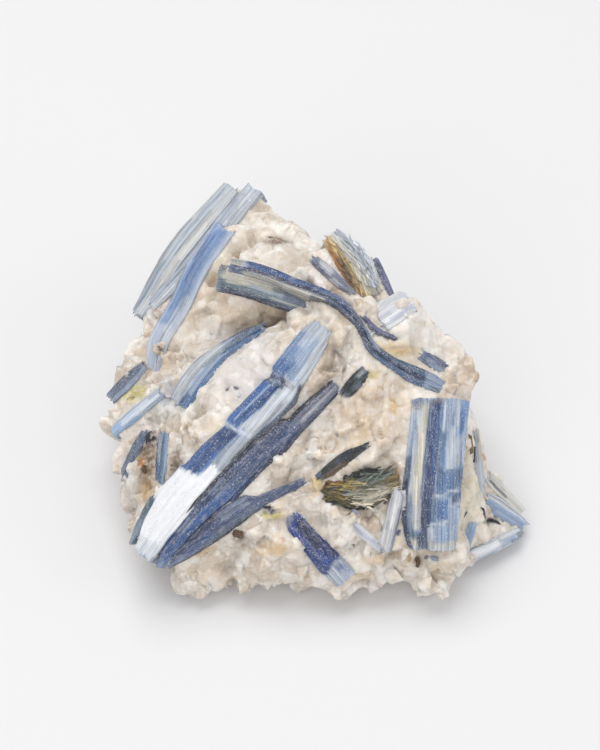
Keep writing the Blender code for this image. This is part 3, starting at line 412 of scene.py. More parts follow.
          "pale_blue", "ash", faces=(-0.6, 0.5, 1), ends=(0.8, 0.55), ribs=4, stations=5,
          marks=(("mist", 0, 1, 0.3, 0.4, 0.8), ("slate", 0.3, 1, 0.05, 0.2, 0.5),
                 ("cream", 0.2, 0.8, 0.7, 0.9, 0.4), ("steel", 0.2, 0.9, 0.5, 0.56, 0.6),
                 ("teal", 0.6, 1, 0.2, 0.4, 0.4))),
    Blade("pale_side_blade", [(-31, -3.6, -12), (-42.6, -12.6, -20)], 3.4, 3.4, "silver_blue", "sky",
          faces=(-0.6, 0.3, 1), ribs=3,
          marks=(("ash", 0, 0.5, 0, 1, 0.6), ("silver", 0, 0.8, 0.25, 0.75, 0.8),
                 ("slate", 0, 0.4, 0.8, 0.9, 0.5))),
    Blade("upright_blade", [(-30.3, -12.6, -9.5), (-31.5, -25, -8.5)], 3.2, 4, "mid_blue", "steel",
          faces=(-0.5, 0.1, 1), ribs=3,
          marks=(("ash", 0, 0.5, 0.1, 0.5, 0.7), ("navy", 0.1, 1, 0.5, 0.6, 0.8),
                 ("deep", 0.4, 1, 0.1, 0.4, 0.7), ("pale", 0, 1, 0.8, 1.1, 0.6),
                 ("ink", 0, 1, -0.1, 0.08, 0.7))),
    Blade("dark_side_blade", [(-35, -12.6, -14), (-39.9, -22.2, -17)], 3, 3.6, "steel_blue", "slate",
          faces=(-0.7, 0, 1), ends=(0.6, 0.8), ribs=3,
          marks=(("teal", 0, 0.6, 0, 0.5, 0.5),)),
    Blade("edge_blade", [(-32, -26.6, -5.5), (-37.6, -37, -8.5)], 2.6, 4, "steel_blue", "teal",
          faces=(-0.8, 0, 1), ends=(0.8, 0.35), ribs=2, relief=0.3,
          marks=(("mist", 0.5, 1.1, 0, 1, 0.5),)),
    Blade("low_left_blade", [(-36.5, 2, -28), (-44.3, -5.2, -30)], 4, 3.6, "steel_blue", "slate",
          faces=(-0.6, 0.4, 1), ends=(0.7, 0.8), ribs=3,
          marks=(("pale", 0, 1, 0.6, 1, 0.5),)),
    Blade("spur_upper_blade", [(42.4, -22.6, -16.5), (51, -31, -20.8)], 2.6, 3, "silver_blue", "cream",
          faces=(0.4, 0.5, 1), ribs=2, relief=0.3,
          outline=((0, 1.2, -1.4, 0), (0.3, 1.6, -1.8, 0), (1, 1, -1.4, 0)),
          marks=(("ash", 0, 1, 0, 1, 0.5), ("plum", 0, 0.5, 0.2, 0.42, 0.9),
                 ("plum", 0.35, 1, 0.6, 0.66, 0.6), ("milk", 0, 1, 0.72, 1, 0.6))),
    Blade("spur_middle_blade", [(41.8, -27.6, -15), (51.2, -34, -20)], 3.2, 3.4, "pale_blue", "powder",
          faces=(0.2, 0.3, 1), ribs=3, relief=0.4,
          outline=((0, 1.6, -1.8, 0), (0.3, 2.1, -2.3, 0), (1, 1.3, -1.6, 0)),
          marks=(("silver", 0, 1, 0.66, 1.1, 0.8), ("plum", 0, 1, 0.84, 0.92, 0.8),
                 ("straw", 0, 0.6, 0.7, 0.8, 0.5), ("mist", 0, 1, 0, 0.3, 0.6))),
    Blade("spur_lower_blade", [(34.6, -41.6, -10.4), (41.6, -38.9, -13), (50, -35.6, -17.8)], 3.4, 3.6,
          "silver_blue", "silver", faces=(0.2, -0.2, 1), ends=(0.7, 0.7), ribs=3, stations=5, relief=0.4,
          marks=(("ash", 0, 0.3, 0, 0.5, 0.8), ("white", 0.2, 0.66, 0.3, 0.8, 0.8),
                 ("mist", 0.3, 0.6, 0, 0.16, 0.8), ("powder", 0.7, 0.88, 0.1, 0.7, 0.8),
                 ("slate", 0.66, 0.7, 0, 1, 0.5), ("navy", 0.9, 1.1, 0.1, 0.7, 0.7),
                 ("slate", 0.1, 0.5, 0.9, 1.1, 0.6), ("cream", 0.4, 0.9, 0.82, 0.9, 0.6))),
    Blade("spur_upright", [(38.4, -32.6, -9.8), (36, -40.2, -9.3)], 2.2, 3.4, "pale_blue", "sky",
          faces=(0.4, 0, 1), ribs=2, relief=0.3,
          marks=(("cornflower", 0.2, 0.9, 0.3, 0.7, 0.5),), splinters=4),
    Blade("right_edge_blade", [(39.5, -12.6, -14), (41.2, -27.4, -15.2)], 2.4, 3.6, "silver_blue", "pale",
          faces=(0.8, 0.1, 1), ribs=2, relief=0.3,
          marks=(("ash", 0, 1, 0, 1, 0.6), ("plum", 0.02, 0.42, 0.1, 0.24, 0.9),
                 ("brown", 0.1, 0.5, 0.4, 0.5, 0.7), ("cream", 0, 0.5, 0.5, 1, 0.8),
                 ("silver", 0.5, 1, 0.3, 0.9, 0.7))),
    Blade("rear_long_blade", [(-14.6, 55.6, 21), (6.4, 48.2, 9)], 7, 4.5, "mid_blue", "cornflower",
          faces=(0.36, 0.92, -0.1), ribs=4, stations=3, in_world=True,
          marks=(("royal", 0, 1, 0.5, 0.8, 0.7), ("silver", 0.2, 0.7, 0.1, 0.35, 0.7))),
    Blade("rear_top_blade", [(-1.5, 49.8, 35), (18.5, 31, 33.5)], 6, 4.5, "steel_blue", "steel",
          faces=(0.44, 0.4, 0.8), ends=(0.7, 0.8), ribs=4, stations=4, in_world=True,
          marks=(("navy", 0.1, 0.9, 0.6, 0.8, 0.7), ("pale", 0, 0.6, 0.1, 0.4, 0.6))),
    Blade("rear_short_blade", [(27.5, 33.6, 22), (34, 22.6, 8)], 6, 4, "pale_blue", "sky",
          faces=(0.8, 0.55, 0.1), ends=(0.8, 0.7), ribs=4, in_world=True,
          marks=(("cornflower", 0, 1, 0.5, 0.8, 0.6),)),
    Blade("rear_side_blade", [(36.5, 12.5, 21), (38.5, 7, 8)], 4, 4, "steel_blue", "steel",
          faces=(0.92, 0.3, 0.1), ribs=3, in_world=True,
          marks=(("silver", 0, 1, 0.7, 1, 0.6),)),
    Blade("rear_left_blade", [(-37, 30.5, 11), (-32.5, 42, 5)], 4.5, 4, "mid_blue", "cornflower",
          faces=(-0.85, 0.4, 0.1), ribs=3, in_world=True,
          marks=(("deep", 0, 1, 0.4, 0.6, 0.7),)),
]

# Stains on the quartz, and painted shade in one hollow: (tone, u, v, half-width, half-height, strength), mm
# in the show face
STAINS_AND_SHADE = [
    ("brown", -6.3, 7.2, 2.6, 2.2, 0.4), ("smoke", 7.5, 3.7, 2.8, 4.6, 0.7),
    ("smoke", 5, -1, 2, 3, 0.5), ("mica", 42.4, -32.6, 1.9, 0.7, 1),
    ("mica", 37.4, -33.4, 1.1, 0.5, 0.9), ("brown", 44, -30, 2.4, 0.5, 0.7),
    ("ink", -15, -2.8, 1.8, 0.8, 0.8), ("amber", 20.4, -6.5, 1.1, 1.8, 0.7),
    ("brown", 12.9, -10.5, 1.2, 0.8, 0.5), ("brown", 25.4, -40.2, 0.9, 1.5, 0.7),
    ("brown", -13.3, -34.4, 1.7, 1.5, 1), ("moss", -6.2, -30.1, 2.6, 1.1, 0.8),
    ("ink", -6.6, -29.2, 1.9, 0.8, 1), ("frost", -12, 3, 8, 8, 0.6), ("moss", 15.3, 0, 1.8, 1, 0.6),
    ("cream", 20.6, 5.8, 6, 2.4, 1), ("amber", 21, 5.6, 5.4, 1.2, 0.8),
    ("gold", 22.4, 4.6, 3, 0.7, 0.6), ("brown", -5.4, 30.4, 3.8, 1.4, 0.8),
    ("milk", -5.2, 34.5, 2, 1.2, 1), ("amber", -22.1, -38.1, 3.4, 1.6, 0.6),
    ("amber", -6.5, -37.6, 3.8, 1.7, 0.6), ("brown", -34.2, -22, 2.2, 6, 0.7),
    # the ink at (-33, -14.2) is painted shade in the hollow above the upright blade
    ("moss", -37.3, -3.4, 2.6, 1.2, 0.7), ("ink", -33, -14.2, 2, 1.8, 1),
    ("brown", -33.4, -18, 2, 3, 0.7), ("amber", -34.4, -26, 2, 2.4, 0.7),
    ("rust", -35, -19.4, 0.9, 0.9, 0.8), ("ash", -38, -26, 3, 6, 0.5),
    ("powder", -29, -4.5, 2.4, 4, 0.4), ("moss", -38.5, -5, 4, 1.4, 0.7),
    ("teal", -41, -1, 3, 1.4, 0.4), ("ash", -31, -8, 6, 3, 0.5), ("frost", -15, 2, 9, 12, 0.5),
    ("frost", 28, 12, 10, 8, 0.5), ("milk", 38, -14, 4, 9, 0.6), ("cream", 36.8, -25, 3.6, 10, 0.6),
    ("rust", 21, -22.1, 1, 2, 0.7), ("straw", 3.6, -23.5, 1.8, 2, 0.6),
    ("rust", 41.1, -18.5, 0.9, 0.9, 0.7), ("amber", -11, 13.3, 8, 3.4, 0.3),
    ("gold", 26.8, 11.2, 2.4, 0.8, 0.9), ("milk", 26, 13, 5, 4, 0.7), ("amber", 16, -40, 3, 1.4, 0.4),
    ("smoke", 1, -10, 1.6, 4, 0.4), ("straw", -20, 28, 3, 6, 0.25), ("amber", 12, -44, 4, 1.4, 0.35),
    ("amber", 16, -8, 9, 8, 0.3), ("smoke", -1.5, -24, 5, 4, 0.6), ("smoke", -12, -36, 5, 1.6, 0.5),
    ("smoke", 3, -38, 2, 4, 0.5), ("brown", -27, -19, 1.6, 3.4, 0.6),
    ("smoke", -16, -42, 2.4, 1.6, 0.6),
]

# Rounded lumps of quartz that fill its hollows: (u, v, top w, half-width, half-height, half-depth), mm
LUMPS = [
    (-4.5, 6.5, -2.2, 4.4, 3.8, 4), (-8.5, 3, -2, 5.6, 4.8, 4), (-13.5, -1, -3, 5.2, 4.6, 4),
    (-18.5, -5.5, -4.5, 4.6, 4.6, 4), (-22, -11.5, -5, 4.4, 5, 4), (1.5, 9.5, -3.4, 5.5, 4.5, 5),
    (11.5, -12, -0.8, 7, 4.5, 4), (19.5, -10, -1.6, 4.5, 5, 4), (-13.5, 30, -25, 4, 4.5, 4),
    (-16.5, 24, -24.5, 4.5, 5, 4), (-20.5, 17.5, -24.5, 4.5, 5, 4), (-24.5, 11, -26, 4.5, 4.5, 4),
    (-0.4, 12.2, -1.6, 2.6, 3.4, 4), (3.6, 12, -1.5, 2.8, 3.4, 4),
]

# Small flakes flush with the quartz, one of them painted shade in a hollow: (tone, u, v, length, width, turn
# in degrees), mm in the show face
INCLUSIONS_AND_SHADE = [
    ("ink", 40.8, -30.6, 3.6, 0.7, -32), ("ink", 43.4, -32.6, 2.8, 0.9, -28),
    ("slate", 36.2, -30.4, 1.8, 0.7, 35), ("gold", 37.9, -15.6, 4.6, 0.3, 96),
    ("plum", 38.6, -17.6, 3.8, 0.4, 92), ("amber", 40.2, -18, 1.8, 1.4, 20),
    ("mist", 29.2, -39.8, 2.6, 1.4, -10), ("dusk", 27.4, -39.6, 1.6, 0.9, 70),
    ("amber", 23.6, -39.7, 2.8, 0.8, 85), ("brown", 25.5, -40.2, 3, 1.1, 85),
    ("lilac", 21.2, -34, 1.6, 0.9, 60), ("dusk", -15.7, -3.2, 1.4, 0.8, 20),
    ("dusk", -13.8, -2.8, 1.7, 0.7, -15), ("ink", -7, -28.5, 2.4, 0.7, -12),
    # the ink flake at (-33.8, -14.2) is painted shade in the hollow above the upright blade
    ("rust", 21.1, -22.4, 2.2, 0.7, 75), ("ink", -33.8, -14.2, 3.2, 1.6, 70),
    ("brown", -34.2, -20.6, 3.2, 1.7, 80), ("amber", -35.8, -18.4, 1.6, 1.2, 40),
    ("brown", -13.3, -34.4, 2.6, 2.2, 0), ("brown", -22, -36.6, 2, 0.6, 20),
    ("slate", -38.6, -9.4, 1.8, 0.8, 30), ("gold", -39, -5.4, 2.2, 0.7, 10),
    ("brown", -6.3, 31.4, 2.6, 0.7, -25), ("lavender", 11.5, -29, 2.6, 0.8, -40),
]

# Where the rock's skin is smoother: (u, v, half-width, half-height, share of the relief kept)
CALM_PLACES = [(-7, 30, 15, 15, 0.4), (27, 9, 13, 12, 0.4), (-20, 12, 8, 14, 0.5), (16, -10, 12, 12, 0.5),
               (-14, -2, 10, 14, 0.35), (-4, 9, 12, 8, 0.4), (38, -20, 6, 20, 0.25), (-4, -43, 32, 7, 0.5),
               (21, 14.5, 6, 5, 0.1)]


# ---------------------------------------------------------------- places on the rock and on a blade

def from_face(u, v, w):
    """The place, in metres, of a point given in the show face's directions, in mm."""
    return FACE_MIDDLE + (FACE_U * u + FACE_V * v + FACE_W * w) * MM


def on_face(place):
    """(u, v, w) in mm of a place given in metres."""
    from_middle = (place - FACE_MIDDLE) / MM
    return from_middle.dot(FACE_U), from_middle.dot(FACE_V), from_middle.dot(FACE_W)


def placed(blade, point):
    """The place of one of the blade's path points."""
    if blade.in_world:
        return Vector(point) * MM + Vector((FACE_MIDDLE.x, FACE_MIDDLE.y, 0))
    return from_face(*point)


def facing_of(blade):
    return (placed(blade, blade.faces) - placed(blade, (0, 0, 0))).normalized()


def along(blade, share):
    """(place, direction) at this share of the length of a smooth curve through the blade's path."""
    points = [placed(blade, p) for p in blade.path]
    lengths = [(b - a).length for a, b in zip(points, points[1:])]
    target = share * sum(lengths)
    i = 0
    while i < len(lengths) - 1 and target > lengths[i]:
        target -= lengths[i]
        i += 1
    t = target / lengths[i]
    before = points[max(i - 1, 0)]
    after = points[min(i + 2, len(points) - 1)]
    start, end = points[i], points[i + 1]
    leave = (end - before) / (2 if i > 0 else 1)
    arrive = (after - start) / (2 if i + 2 < len(points) else 1)
    place = ((2 * t**3 - 3 * t**2 + 1) * start + (t**3 - 2 * t**2 + t) * leave
             + (3 * t**2 - 2 * t**3) * end + (t**3 - t**2) * arrive)
    direction = ((6 * t**2 - 6 * t) * start + (3 * t**2 - 4 * t + 1) * leave
                 + (6 * t - 6 * t**2) * end + (3 * t**2 - 2 * t) * arrive)
    return place, direction.normalized()


def plain_outline(blade):
    """Stations for a blade with no steps: it narrows smoothly from its middle to its two ends."""
    first, last = blade.ends
    stations = []
    for i in range(blade.stations + 1):
        share = i / blade.stations
        bulge = math.sin(math.pi * share)
        left = blade.width / 2 * (bulge + (1 - bulge) * (first + (last - first) * share))
        stations.append((share, left, -left, 0.0))
    return stations


def between(low, high, share):
    return low + (high - low) * share


def smooth_step(low, high, value):
    """0 before low, 1 past high and smooth between; low may be the larger."""
    share = min(1.0, max(0.0, (value - low) / (high - low)))
    return share * share * (3 - 2 * share)


def chance(*cell):
    """A fixed number from 0 to 1 for a cell given by up to three whole numbers."""
    padded = (list(cell) + [0, 0])[:3]
    return 0.5 + 0.5 * noise.cell(Vector((padded[0] + 0.5, padded[1] + 0.5, padded[2] + 0.5)))


class Lath:
    """What a blade's fine mesh, its colours and its splinters are worked out from."""

    def __init__(self, blade):
        rng = random.Random(blade.name)
        self.blade = blade
        self.seed = rng_seed(blade.name)
        self.outline = blade.outline or plain_outline(blade)
        profile = list(blade.profile)
        if not profile:
            profile = [rng.uniform(-blade.relief, 0) for _ in range(blade.ribs + 1)]
            profile[0] -= blade.relief * 0.6
            profile[-1] -= blade.relief * 0.6
        self.profile = profile
        self.steps = [(rng.uniform(0.2, 0.9), rng.uniform(-0.6, 0.3) * blade.relief) for _ in profile]
        self.ragged = [[rng.uniform(-blade.ragged, blade.ragged) for _ in profile] for _ in range(2)]
        points = [placed(blade, p) for p in blade.path]
        self.length = sum((b - a).length for a, b in zip(points, points[1:])) / MM
        self.facing = facing_of(blade)
        self.known = {}

    def share_at(self, place):
        """The share of the length whose place on the path is nearest."""
        shares = [i / SHARES_TRIED for i in range(SHARES_TRIED + 1)]
        return min(shares, key=lambda share: (self.axes(share)[0] - place).length_squared)

    def station(self, share):
        """(left, right, lift) in mm at this share of the length."""
        share = min(1.0, max(0.0, share))
        for here, there in zip(self.outline, self.outline[1:]):
            if share <= there[0]:
                part = (share - here[0]) / (there[0] - here[0])
                return [between(a, b, part) for a, b in zip(here[1:], there[1:])]
        return list(self.outline[-1][1:])

    def axes(self, share):
        """(place, direction, side, out) at this share of the length."""
        key = round(share, 4)
        if key not in self.known:
            place, direction = along(self.blade, min(1.0, max(0.0, share)))
            side = self.facing.cross(direction).normalized()
            self.known[key] = (place, direction, side, direction.cross(side).normalized())
        return self.known[key]

    def ribbed(self, share, crosswise):
        """Height of the flat lamellae that stand for the solid's ribs, in mm."""
        where = crosswise * (len(self.profile) - 1)
        rib = min(int(where), len(self.profile) - 2)
        heights = []
        for i in (rib, rib + 1):
            step_at, step = self.steps[i]
            heights.append(self.profile[i] + step * smooth_step(step_at, step_at + 0.02, share))
        return RIB_KEEP * between(heights[0], heights[1], smooth_step(0.3, 0.7, where - rib))

    def strands(self, run, across):
        """Height of the strands and threads of the crystal, in mm: each has its own level and ends."""
        height = 0.0
        for width, relief, reach, salt in ((STRAND, STRAND_RELIEF, 14, 0), (THREAD, THREAD_RELIEF, 9, 50)):
            wander = 0.1 * noise.noise(Vector((across * 0.9, run * 0.03, self.seed + salt)))
            strand = math.floor((across + wander) / width)
            length = reach * (0.5 + chance(strand, self.seed + salt))
            piece = math.floor(run / length + 9 * chance(strand, self.seed + salt, 3))
            height += (chance(strand, piece, self.seed + salt) - 0.5) * 2 * relief
        return height

    def bent(self, share, crosswise, depth, fine=1.0):
        """The place of a point given by its shares of length, width (from the right) and depth in mm."""
        blade = self.blade
        left, right, lift = self.station(share)
        place, direction, side, out = self.axes(share)
        run = share * self.length
        across = between(right, left, crosswise)
        edge = min(crosswise, 1 - crosswise) * (left - right)
        height = lift + self.ribbed(share, crosswise) + fine * self.strands(run, across)
        height -= EDGE_ROUNDING * (1 - smooth_step(0, 0.25, edge))
        if crosswise in (0, 1):
            outward = 1 if crosswise == 1 else -1
            across += outward * fine * self.strands(run + 31, depth * 1.7)
            worn_in = max(0, noise.noise(Vector((run * 0.55, self.seed, crosswise * 9))))
            across -= outward * EDGE_ROUNDING * worn_in
        reach = 0.0
        if share in (0, 1):
            ragged = self.ragged[0 if share == 0 else 1]
            where = crosswise * (len(ragged) - 1)
            rib = min(int(where), len(ragged) - 2)
            reach = RAGGED_KEEP * between(ragged[rib], ragged[rib + 1], where - rib)
            chip = chance(math.floor(across / 0.5), math.floor(depth / 1.1), self.seed) - 0.5
            reach += 0.3 * fine * chip
        return place + (side * across + out * height + direction * reach - self.facing * depth) * MM

    def colour(self, share, crosswise, depth):
        """(colour, shine) of the crystal at this place: its base tone, its marks, its paler breaks and
        painted shade low on its sides. The second is how much white is marked there, which on the broad
        blade's lower third is a painted reflection of the window.
        """
        left, right, _ = self.station(share)
        run = share * self.length
        across = between(right, left, crosswise)
        strand = math.floor(across / 0.7)
        jag = (chance(strand, self.seed, 7) - 0.5) * MARK_JAG * self.blade.ragged
        sway = noise.noise(Vector((run * 0.25, across * 0.3, self.seed)))
        width = max(left - right, 0.5)
        colour = Vector(TONES[self.blade.base])
        shine = 0.0
        for name, start, end, low, high, *strength in self.blade.marks:
            full = strength[0] if strength else 1.0
            reach = run + MARK_SLANT * across + jag * min(1.0, (end - start) * self.length / 6)
            lengthwise = smooth_step(-0.3, 0.3, reach - start * self.length)
            lengthwise *= smooth_step(-0.3, 0.3, end * self.length - reach)
            wander = sway * (0.12 + 0.2 * min(1.0, (high - low) * width / 3))
            sideways = smooth_step(-0.15, 0.15, (crosswise - low) * width + wander)
            sideways *= smooth_step(-0.15, 0.15, (high - crosswise) * width - wander)
            cover = full * lengthwise * sideways
            # white marks set the shine layer: on the broad blade's lower third they are a painted reflection
            # of the window, on the spur a white plate of the crystal
            if name == "white":
                shine = max(shine, cover)
            else:
                shine *= 1 - cover
            colour = colour.lerp(Vector(TONES[name]), cover)
        lamella = math.floor(across / LAMELLA)
        piece = math.floor(run / (4 + 9 * chance(lamella, self.seed)) + 5 * chance(lamella, self.seed, 2))
        # the lamellae's own tones even out where white is marked, and so under the painted reflection
        own_tone = 0.78 + 0.4 * chance(lamella, piece, self.seed + 4)
        colour = colour * between(own_tone, 1.0, 0.8 * shine)
        broken = 1 - smooth_step(0, BREAK_REACH, min(run, self.length - run))
        colour = colour.lerp(Vector(TONES["pale"]), BREAK_PALENESS * broken)
        # painted shade: deeper down its sides the crystal is darker and its white fades
        deeper = smooth_step(0.3, 2.5, depth)
        return colour.lerp(colour * DEPTH_SHADE, deeper), shine * (1 - deeper)


def rng_seed(name):
    """A small whole number that belongs to this name."""
    return sum(ord(letter) * (i + 3) for i, letter in enumerate(name)) % 997


# ---------------------------------------------------------------- meshes

def object_from(bm, name):
    mesh = bpy.data.meshes.new(name)
    bm.to_mesh(mesh)
    bm.free()
    made = bpy.data.objects.new(name, mesh)
    bpy.context.scene.collection.objects.link(made)
    return made


def paint_layers(bm):
    """The layers that a crystal's material reads: place in the crystal, colour, and how much white is
    marked, which on the broad blade's lower third is a painted reflection.
    """
    return (bm.verts.layers.float_vector.new("lie"), bm.verts.layers.float_color.new("tint"),
            bm.verts.layers.float.new("shine"))


def box_skin(lengthwise, sideways, layers):
    """The faces of a finely divided box, top, bottom and walls, as lists of (i, j, k) corners."""
    faces = []
    for k in (0, layers):
        for j in range(sideways):
            for i in range(lengthwise):
                face = [(i, j, k), (i + 1, j, k), (i + 1, j + 1, k), (i, j + 1, k)]
                faces.append([face[n] for n in (0, 3, 2, 1)] if k else face)
    rim = [(0, j) for j in range(sideways)] + [(i, sideways) for i in range(lengthwise)]
    rim += [(lengthwise, j) for j in range(sideways, 0, -1)] + [(i, 0) for i in range(lengthwise, 0, -1)]
    for here, there in zip(rim, rim[1:] + rim[:1]):
        for k in range(layers):
            faces.append([(*there, k), (*there, k + 1), (*here, k + 1), (*here, k)])
    return faces


def fine_blade(lath):
    """The striated crystal: a finely divided box, bent into place."""
    blade = lath.blade
    lengthwise = max(6, round(lath.length / RUN_STEP))
    sideways = max(6, round(blade.width / ACROSS_STEP))
    layers = max(2, round(blade.thick / DEPTH_STEP))
    bm = bmesh.new()
    lie, tint, shine = paint_layers(bm)
    made = {}
    for face in box_skin(lengthwise, sideways, layers):
        for corner in face:
            if corner in made:
                continue
            share, crosswise = corner[0] / lengthwise, corner[1] / sideways
            depth = corner[2] / layers * blade.thick
            place = lath.bent(share, crosswise, depth)
            left, right, _ = lath.station(share)
            colour, glint = lath.colour(share, crosswise, depth)
            vertex = bm.verts.new((place.x, place.y, max(0.0, place.z)))
            vertex[lie] = Vector((share * lath.length, between(right, left, crosswise), -depth))
            vertex[tint] = (*colour, 1)
            vertex[shine] = glint
            made[corner] = vertex
        bm.faces.new([made[corner] for corner in face])
    bmesh.ops.recalc_face_normals(bm, faces=bm.faces[:])
    return bm


def add_splinter(bm, layers, lath, rng, share, crosswise, length, width, height, lift, lean):
    """Adds a small pointed lath that lies along the crystal, at this share of its length and width."""
    lie, tint, shine = layers
    place, direction, side, out = lath.axes(round(share * 200) / 200)
    left, right, base = lath.station(share)
    across = between(right, left, crosswise)
    nearest = min(1, max(0, share))
    colour, _ = lath.colour(nearest, crosswise, 0)
    colour = colour * rng.uniform(0.75, 1.3)
    height_there = base + lath.ribbed(nearest, crosswise) + lift
    middle = place + (side * across + out * height_there) * MM
    taper = rng.uniform(0.1, 0.6)
    turn = Matrix.Rotation(lean, 3, out) @ Matrix.Rotation(rng.uniform(-0.12, 0.12), 3, side)
    along_it, beside_it = turn @ direction, turn @ side
    upwards = along_it.cross(beside_it).normalized()
    slant = rng.uniform(-0.3, 0.3)
    for vertex in bmesh.ops.create_cube(bm, size=1)["verts"]:
        x, y, z = vertex.co
        narrow = taper if x > 0 else 1.0
        x += slant * y
        vertex[lie] = Vector((share * lath.length + x * length, across + y * width, z * height))
        vertex[tint] = (*colour, 1)
        vertex[shine] = 0
        vertex.co = middle + (along_it * x * length + beside_it * y * width * narrow
                              + upwards * z * height * narrow) * MM


def splinters(lath, count):
    """Splinters at the crystal's two broken ends, as one mesh."""
    rng = random.Random("splinters of " + lath.blade.name)
    bm = bmesh.new()
    layers = paint_layers(bm)
    for _ in range(count):
        end = rng.choice((0, 1))
        length = rng.uniform(1.2, 3.2)
        inward = rng.uniform(0.1, 0.6) * length / lath.length
        share = inward if end == 0 else 1 - inward
        lean = rng.uniform(-0.12, 0.12) + (math.pi if end == 0 else 0)
        add_splinter(bm, layers, lath, rng, share, rng.uniform(0.08, 0.92), length,
                     rng.uniform(0.3, 0.8), rng.uniform(0.25, 0.6), rng.uniform(-0.45, -0.1), lean)
    return bm


def fibres(lath, lean):
    """A felt of fibres and flakes over the whole crystal, as one mesh."""
    rng = random.Random("fibres of " + lath.blade.name)
    bm = bmesh.new()
    layers = paint_layers(bm)
    for _ in range(FIBRE_COUNT):
        length = rng.uniform(0.3, 1) * FIBRE_LENGTH
        share = rng.uniform(0.02, 0.98)
        reach = 0.5 * length / lath.length
        share = min(1 - reach, max(reach, share))
        add_splinter(bm, layers, lath, rng, share, rng.uniform(0.04, 0.96), length,
                     rng.uniform(0.15, 0.6), rng.uniform(0.12, 0.35), rng.uniform(-0.3, 0.25),
                     rng.gauss(0, lean) + rng.choice((0, math.pi)))
    return bm


class CrystalField:
    """All crystal faces, searched for the one nearest to a place."""

    def __init__(self, laths, pieces):
        corners, faces, self.owners = [], [], []
        for lath, piece in zip(laths, pieces):
            start = len(corners)
            depths = [-lie.vector.z for lie in piece.data.attributes["lie"].data]
            corners.extend(vertex.co.copy() for vertex in piece.data.vertices)
            for polygon in piece.data.polygons:
                faces.append([start + i for i in polygon.vertices])
                self.owners.append((lath, sum(depths[i] for i in polygon.vertices) / len(polygon.vertices)))
        self.tree = BVHTree.FromPolygons(corners, faces)

    def nearest(self, place, reach):
        """(point, normal, distance in mm, lath, depth in mm) of the nearest face within reach, in mm."""
        point, normal, index, distance = self.tree.find_nearest(place, reach * MM)
        if point is None:
            return None
        return (point, normal, distance / MM, *self.owners[index])


def grain_height(place, size, relief, lean):
    """How far a grain of this size stands out here, in mm: each has its own level and a leaning flat."""
    distances, middles = noise.voronoi(place / (size * MM), distance_metric="DISTANCE")
    grain = middles[0]
    slope = (noise.cell_vector(grain * 7.31) - Vector((0.5, 0.5, 0.5))) * 2 * lean
    from_middle = (place - grain * size * MM) / MM
    level = noise.cell(grain * 3.17) * relief
    crease = min(1.0, (distances[1] - distances[0]) * 5)
    return level + slope.dot(from_middle) - (1 - crease) * 0.5 * relief


def stain_and_shade_at(place):
    """(colour, cover) of the stains, and of the painted shade in one hollow, at this place on the quartz."""
    u, v, w = on_face(place)
    colour, cover = Vector((0, 0, 0)), 0.0
    if w < STAINED_DEPTH:
        return colour, cover
    ripple = 0.35 * noise.noise(place / (1.6 * MM)) + 0.2 * noise.noise(place / (0.7 * MM))
    for name, middle_u, middle_v, half_u, half_v, strength in STAINS_AND_SHADE:
        far = math.hypot((u - middle_u) / half_u, (v - middle_v) / half_v)
        if far < 1.8:
            here = strength * (1 - smooth_step(0.5, 1.35, far + ripple))
            colour = colour.lerp(Vector(TONES[name]), here / max(here + cover * (1 - here), 1e-6))
            cover = here + cover * (1 - here)
    return colour, cover


def banked(place, crystals):
    """The place raised to where the quartz banks up against a crystal's side."""
    found = crystals.nearest(place, BANK_REACH)
    if found is None:
        return place
    point, normal, distance, lath, depth = found
    if abs(normal.dot(lath.facing)) > 0.8 or depth > lath.blade.thick - 0.05:
        return place
    near = 1 - smooth_step(0.5, BANK_REACH, distance)
    share = lath.share_at(point)
    sunk = between(*lath.blade.sunk, share)
    at_end = abs(normal.dot(lath.axes(share)[1])) > 0.7
    shy = (0.1 if at_end else 0.3) + 0.5 * noise.noise(place / (2.5 * MM))
    raised = min(BANK_HEIGHT, max(0.0, depth - shy)) * sunk * near
    return place + lath.facing * raised * MM


def roughness_at(place):
    """How much of the grains' relief shows here."""
    u, v, _ = on_face(place)
    kept = 1.0
    for middle_u, middle_v, half_u, half_v, share in CALM_PLACES:
        far = math.hypot((u - middle_u) / half_u, (v - middle_v) / half_v)
        kept = min(kept, between(share, 1, smooth_step(0.6, 1.2, far)))
    return kept


def sealed(place, crystals):
    """The place drawn into a crystal that it nearly touches, so that no gap shows beside it."""
    found = crystals.nearest(place, 3)
    if found is None:
        return place
    point, normal, distance, lath, _ = found
    inside = (place - point).dot(normal) < 0
    if distance > 1.2 and not inside:
        return place
    if inside and distance > SEAL_DEPTH:
        return place
    reach = 1.2 if normal.dot(lath.facing) > 0.7 else SEAL_REACH
    draw = 1.0 if inside else 1 - smooth_step(0.55 * reach, reach, distance)
    return place.lerp(point - normal * SEAL_DEPTH * MM, draw)


def smoothed(bm, rounds):
    for _ in range(rounds):
        bmesh.ops.smooth_vert(bm, verts=bm.verts[:], factor=0.5, use_axis_x=True, use_axis_y=True,
                              use_axis_z=True)


def add_lump(bm, rng, middle, radius, rounds, stretch, turn, knock):
    """Adds a knobbly ball of this radius in mm, stretched and then turned, and gives its vertices."""
    lump = bmesh.ops.create_icosphere(bm, subdivisions=rounds, radius=radius * MM)["verts"]
    for vertex in lump:
        size = 1 + rng.uniform(-knock, knock)
        vertex.co = middle + turn @ Vector(a * b * size for a, b in zip(vertex.co, stretch))
    return lump


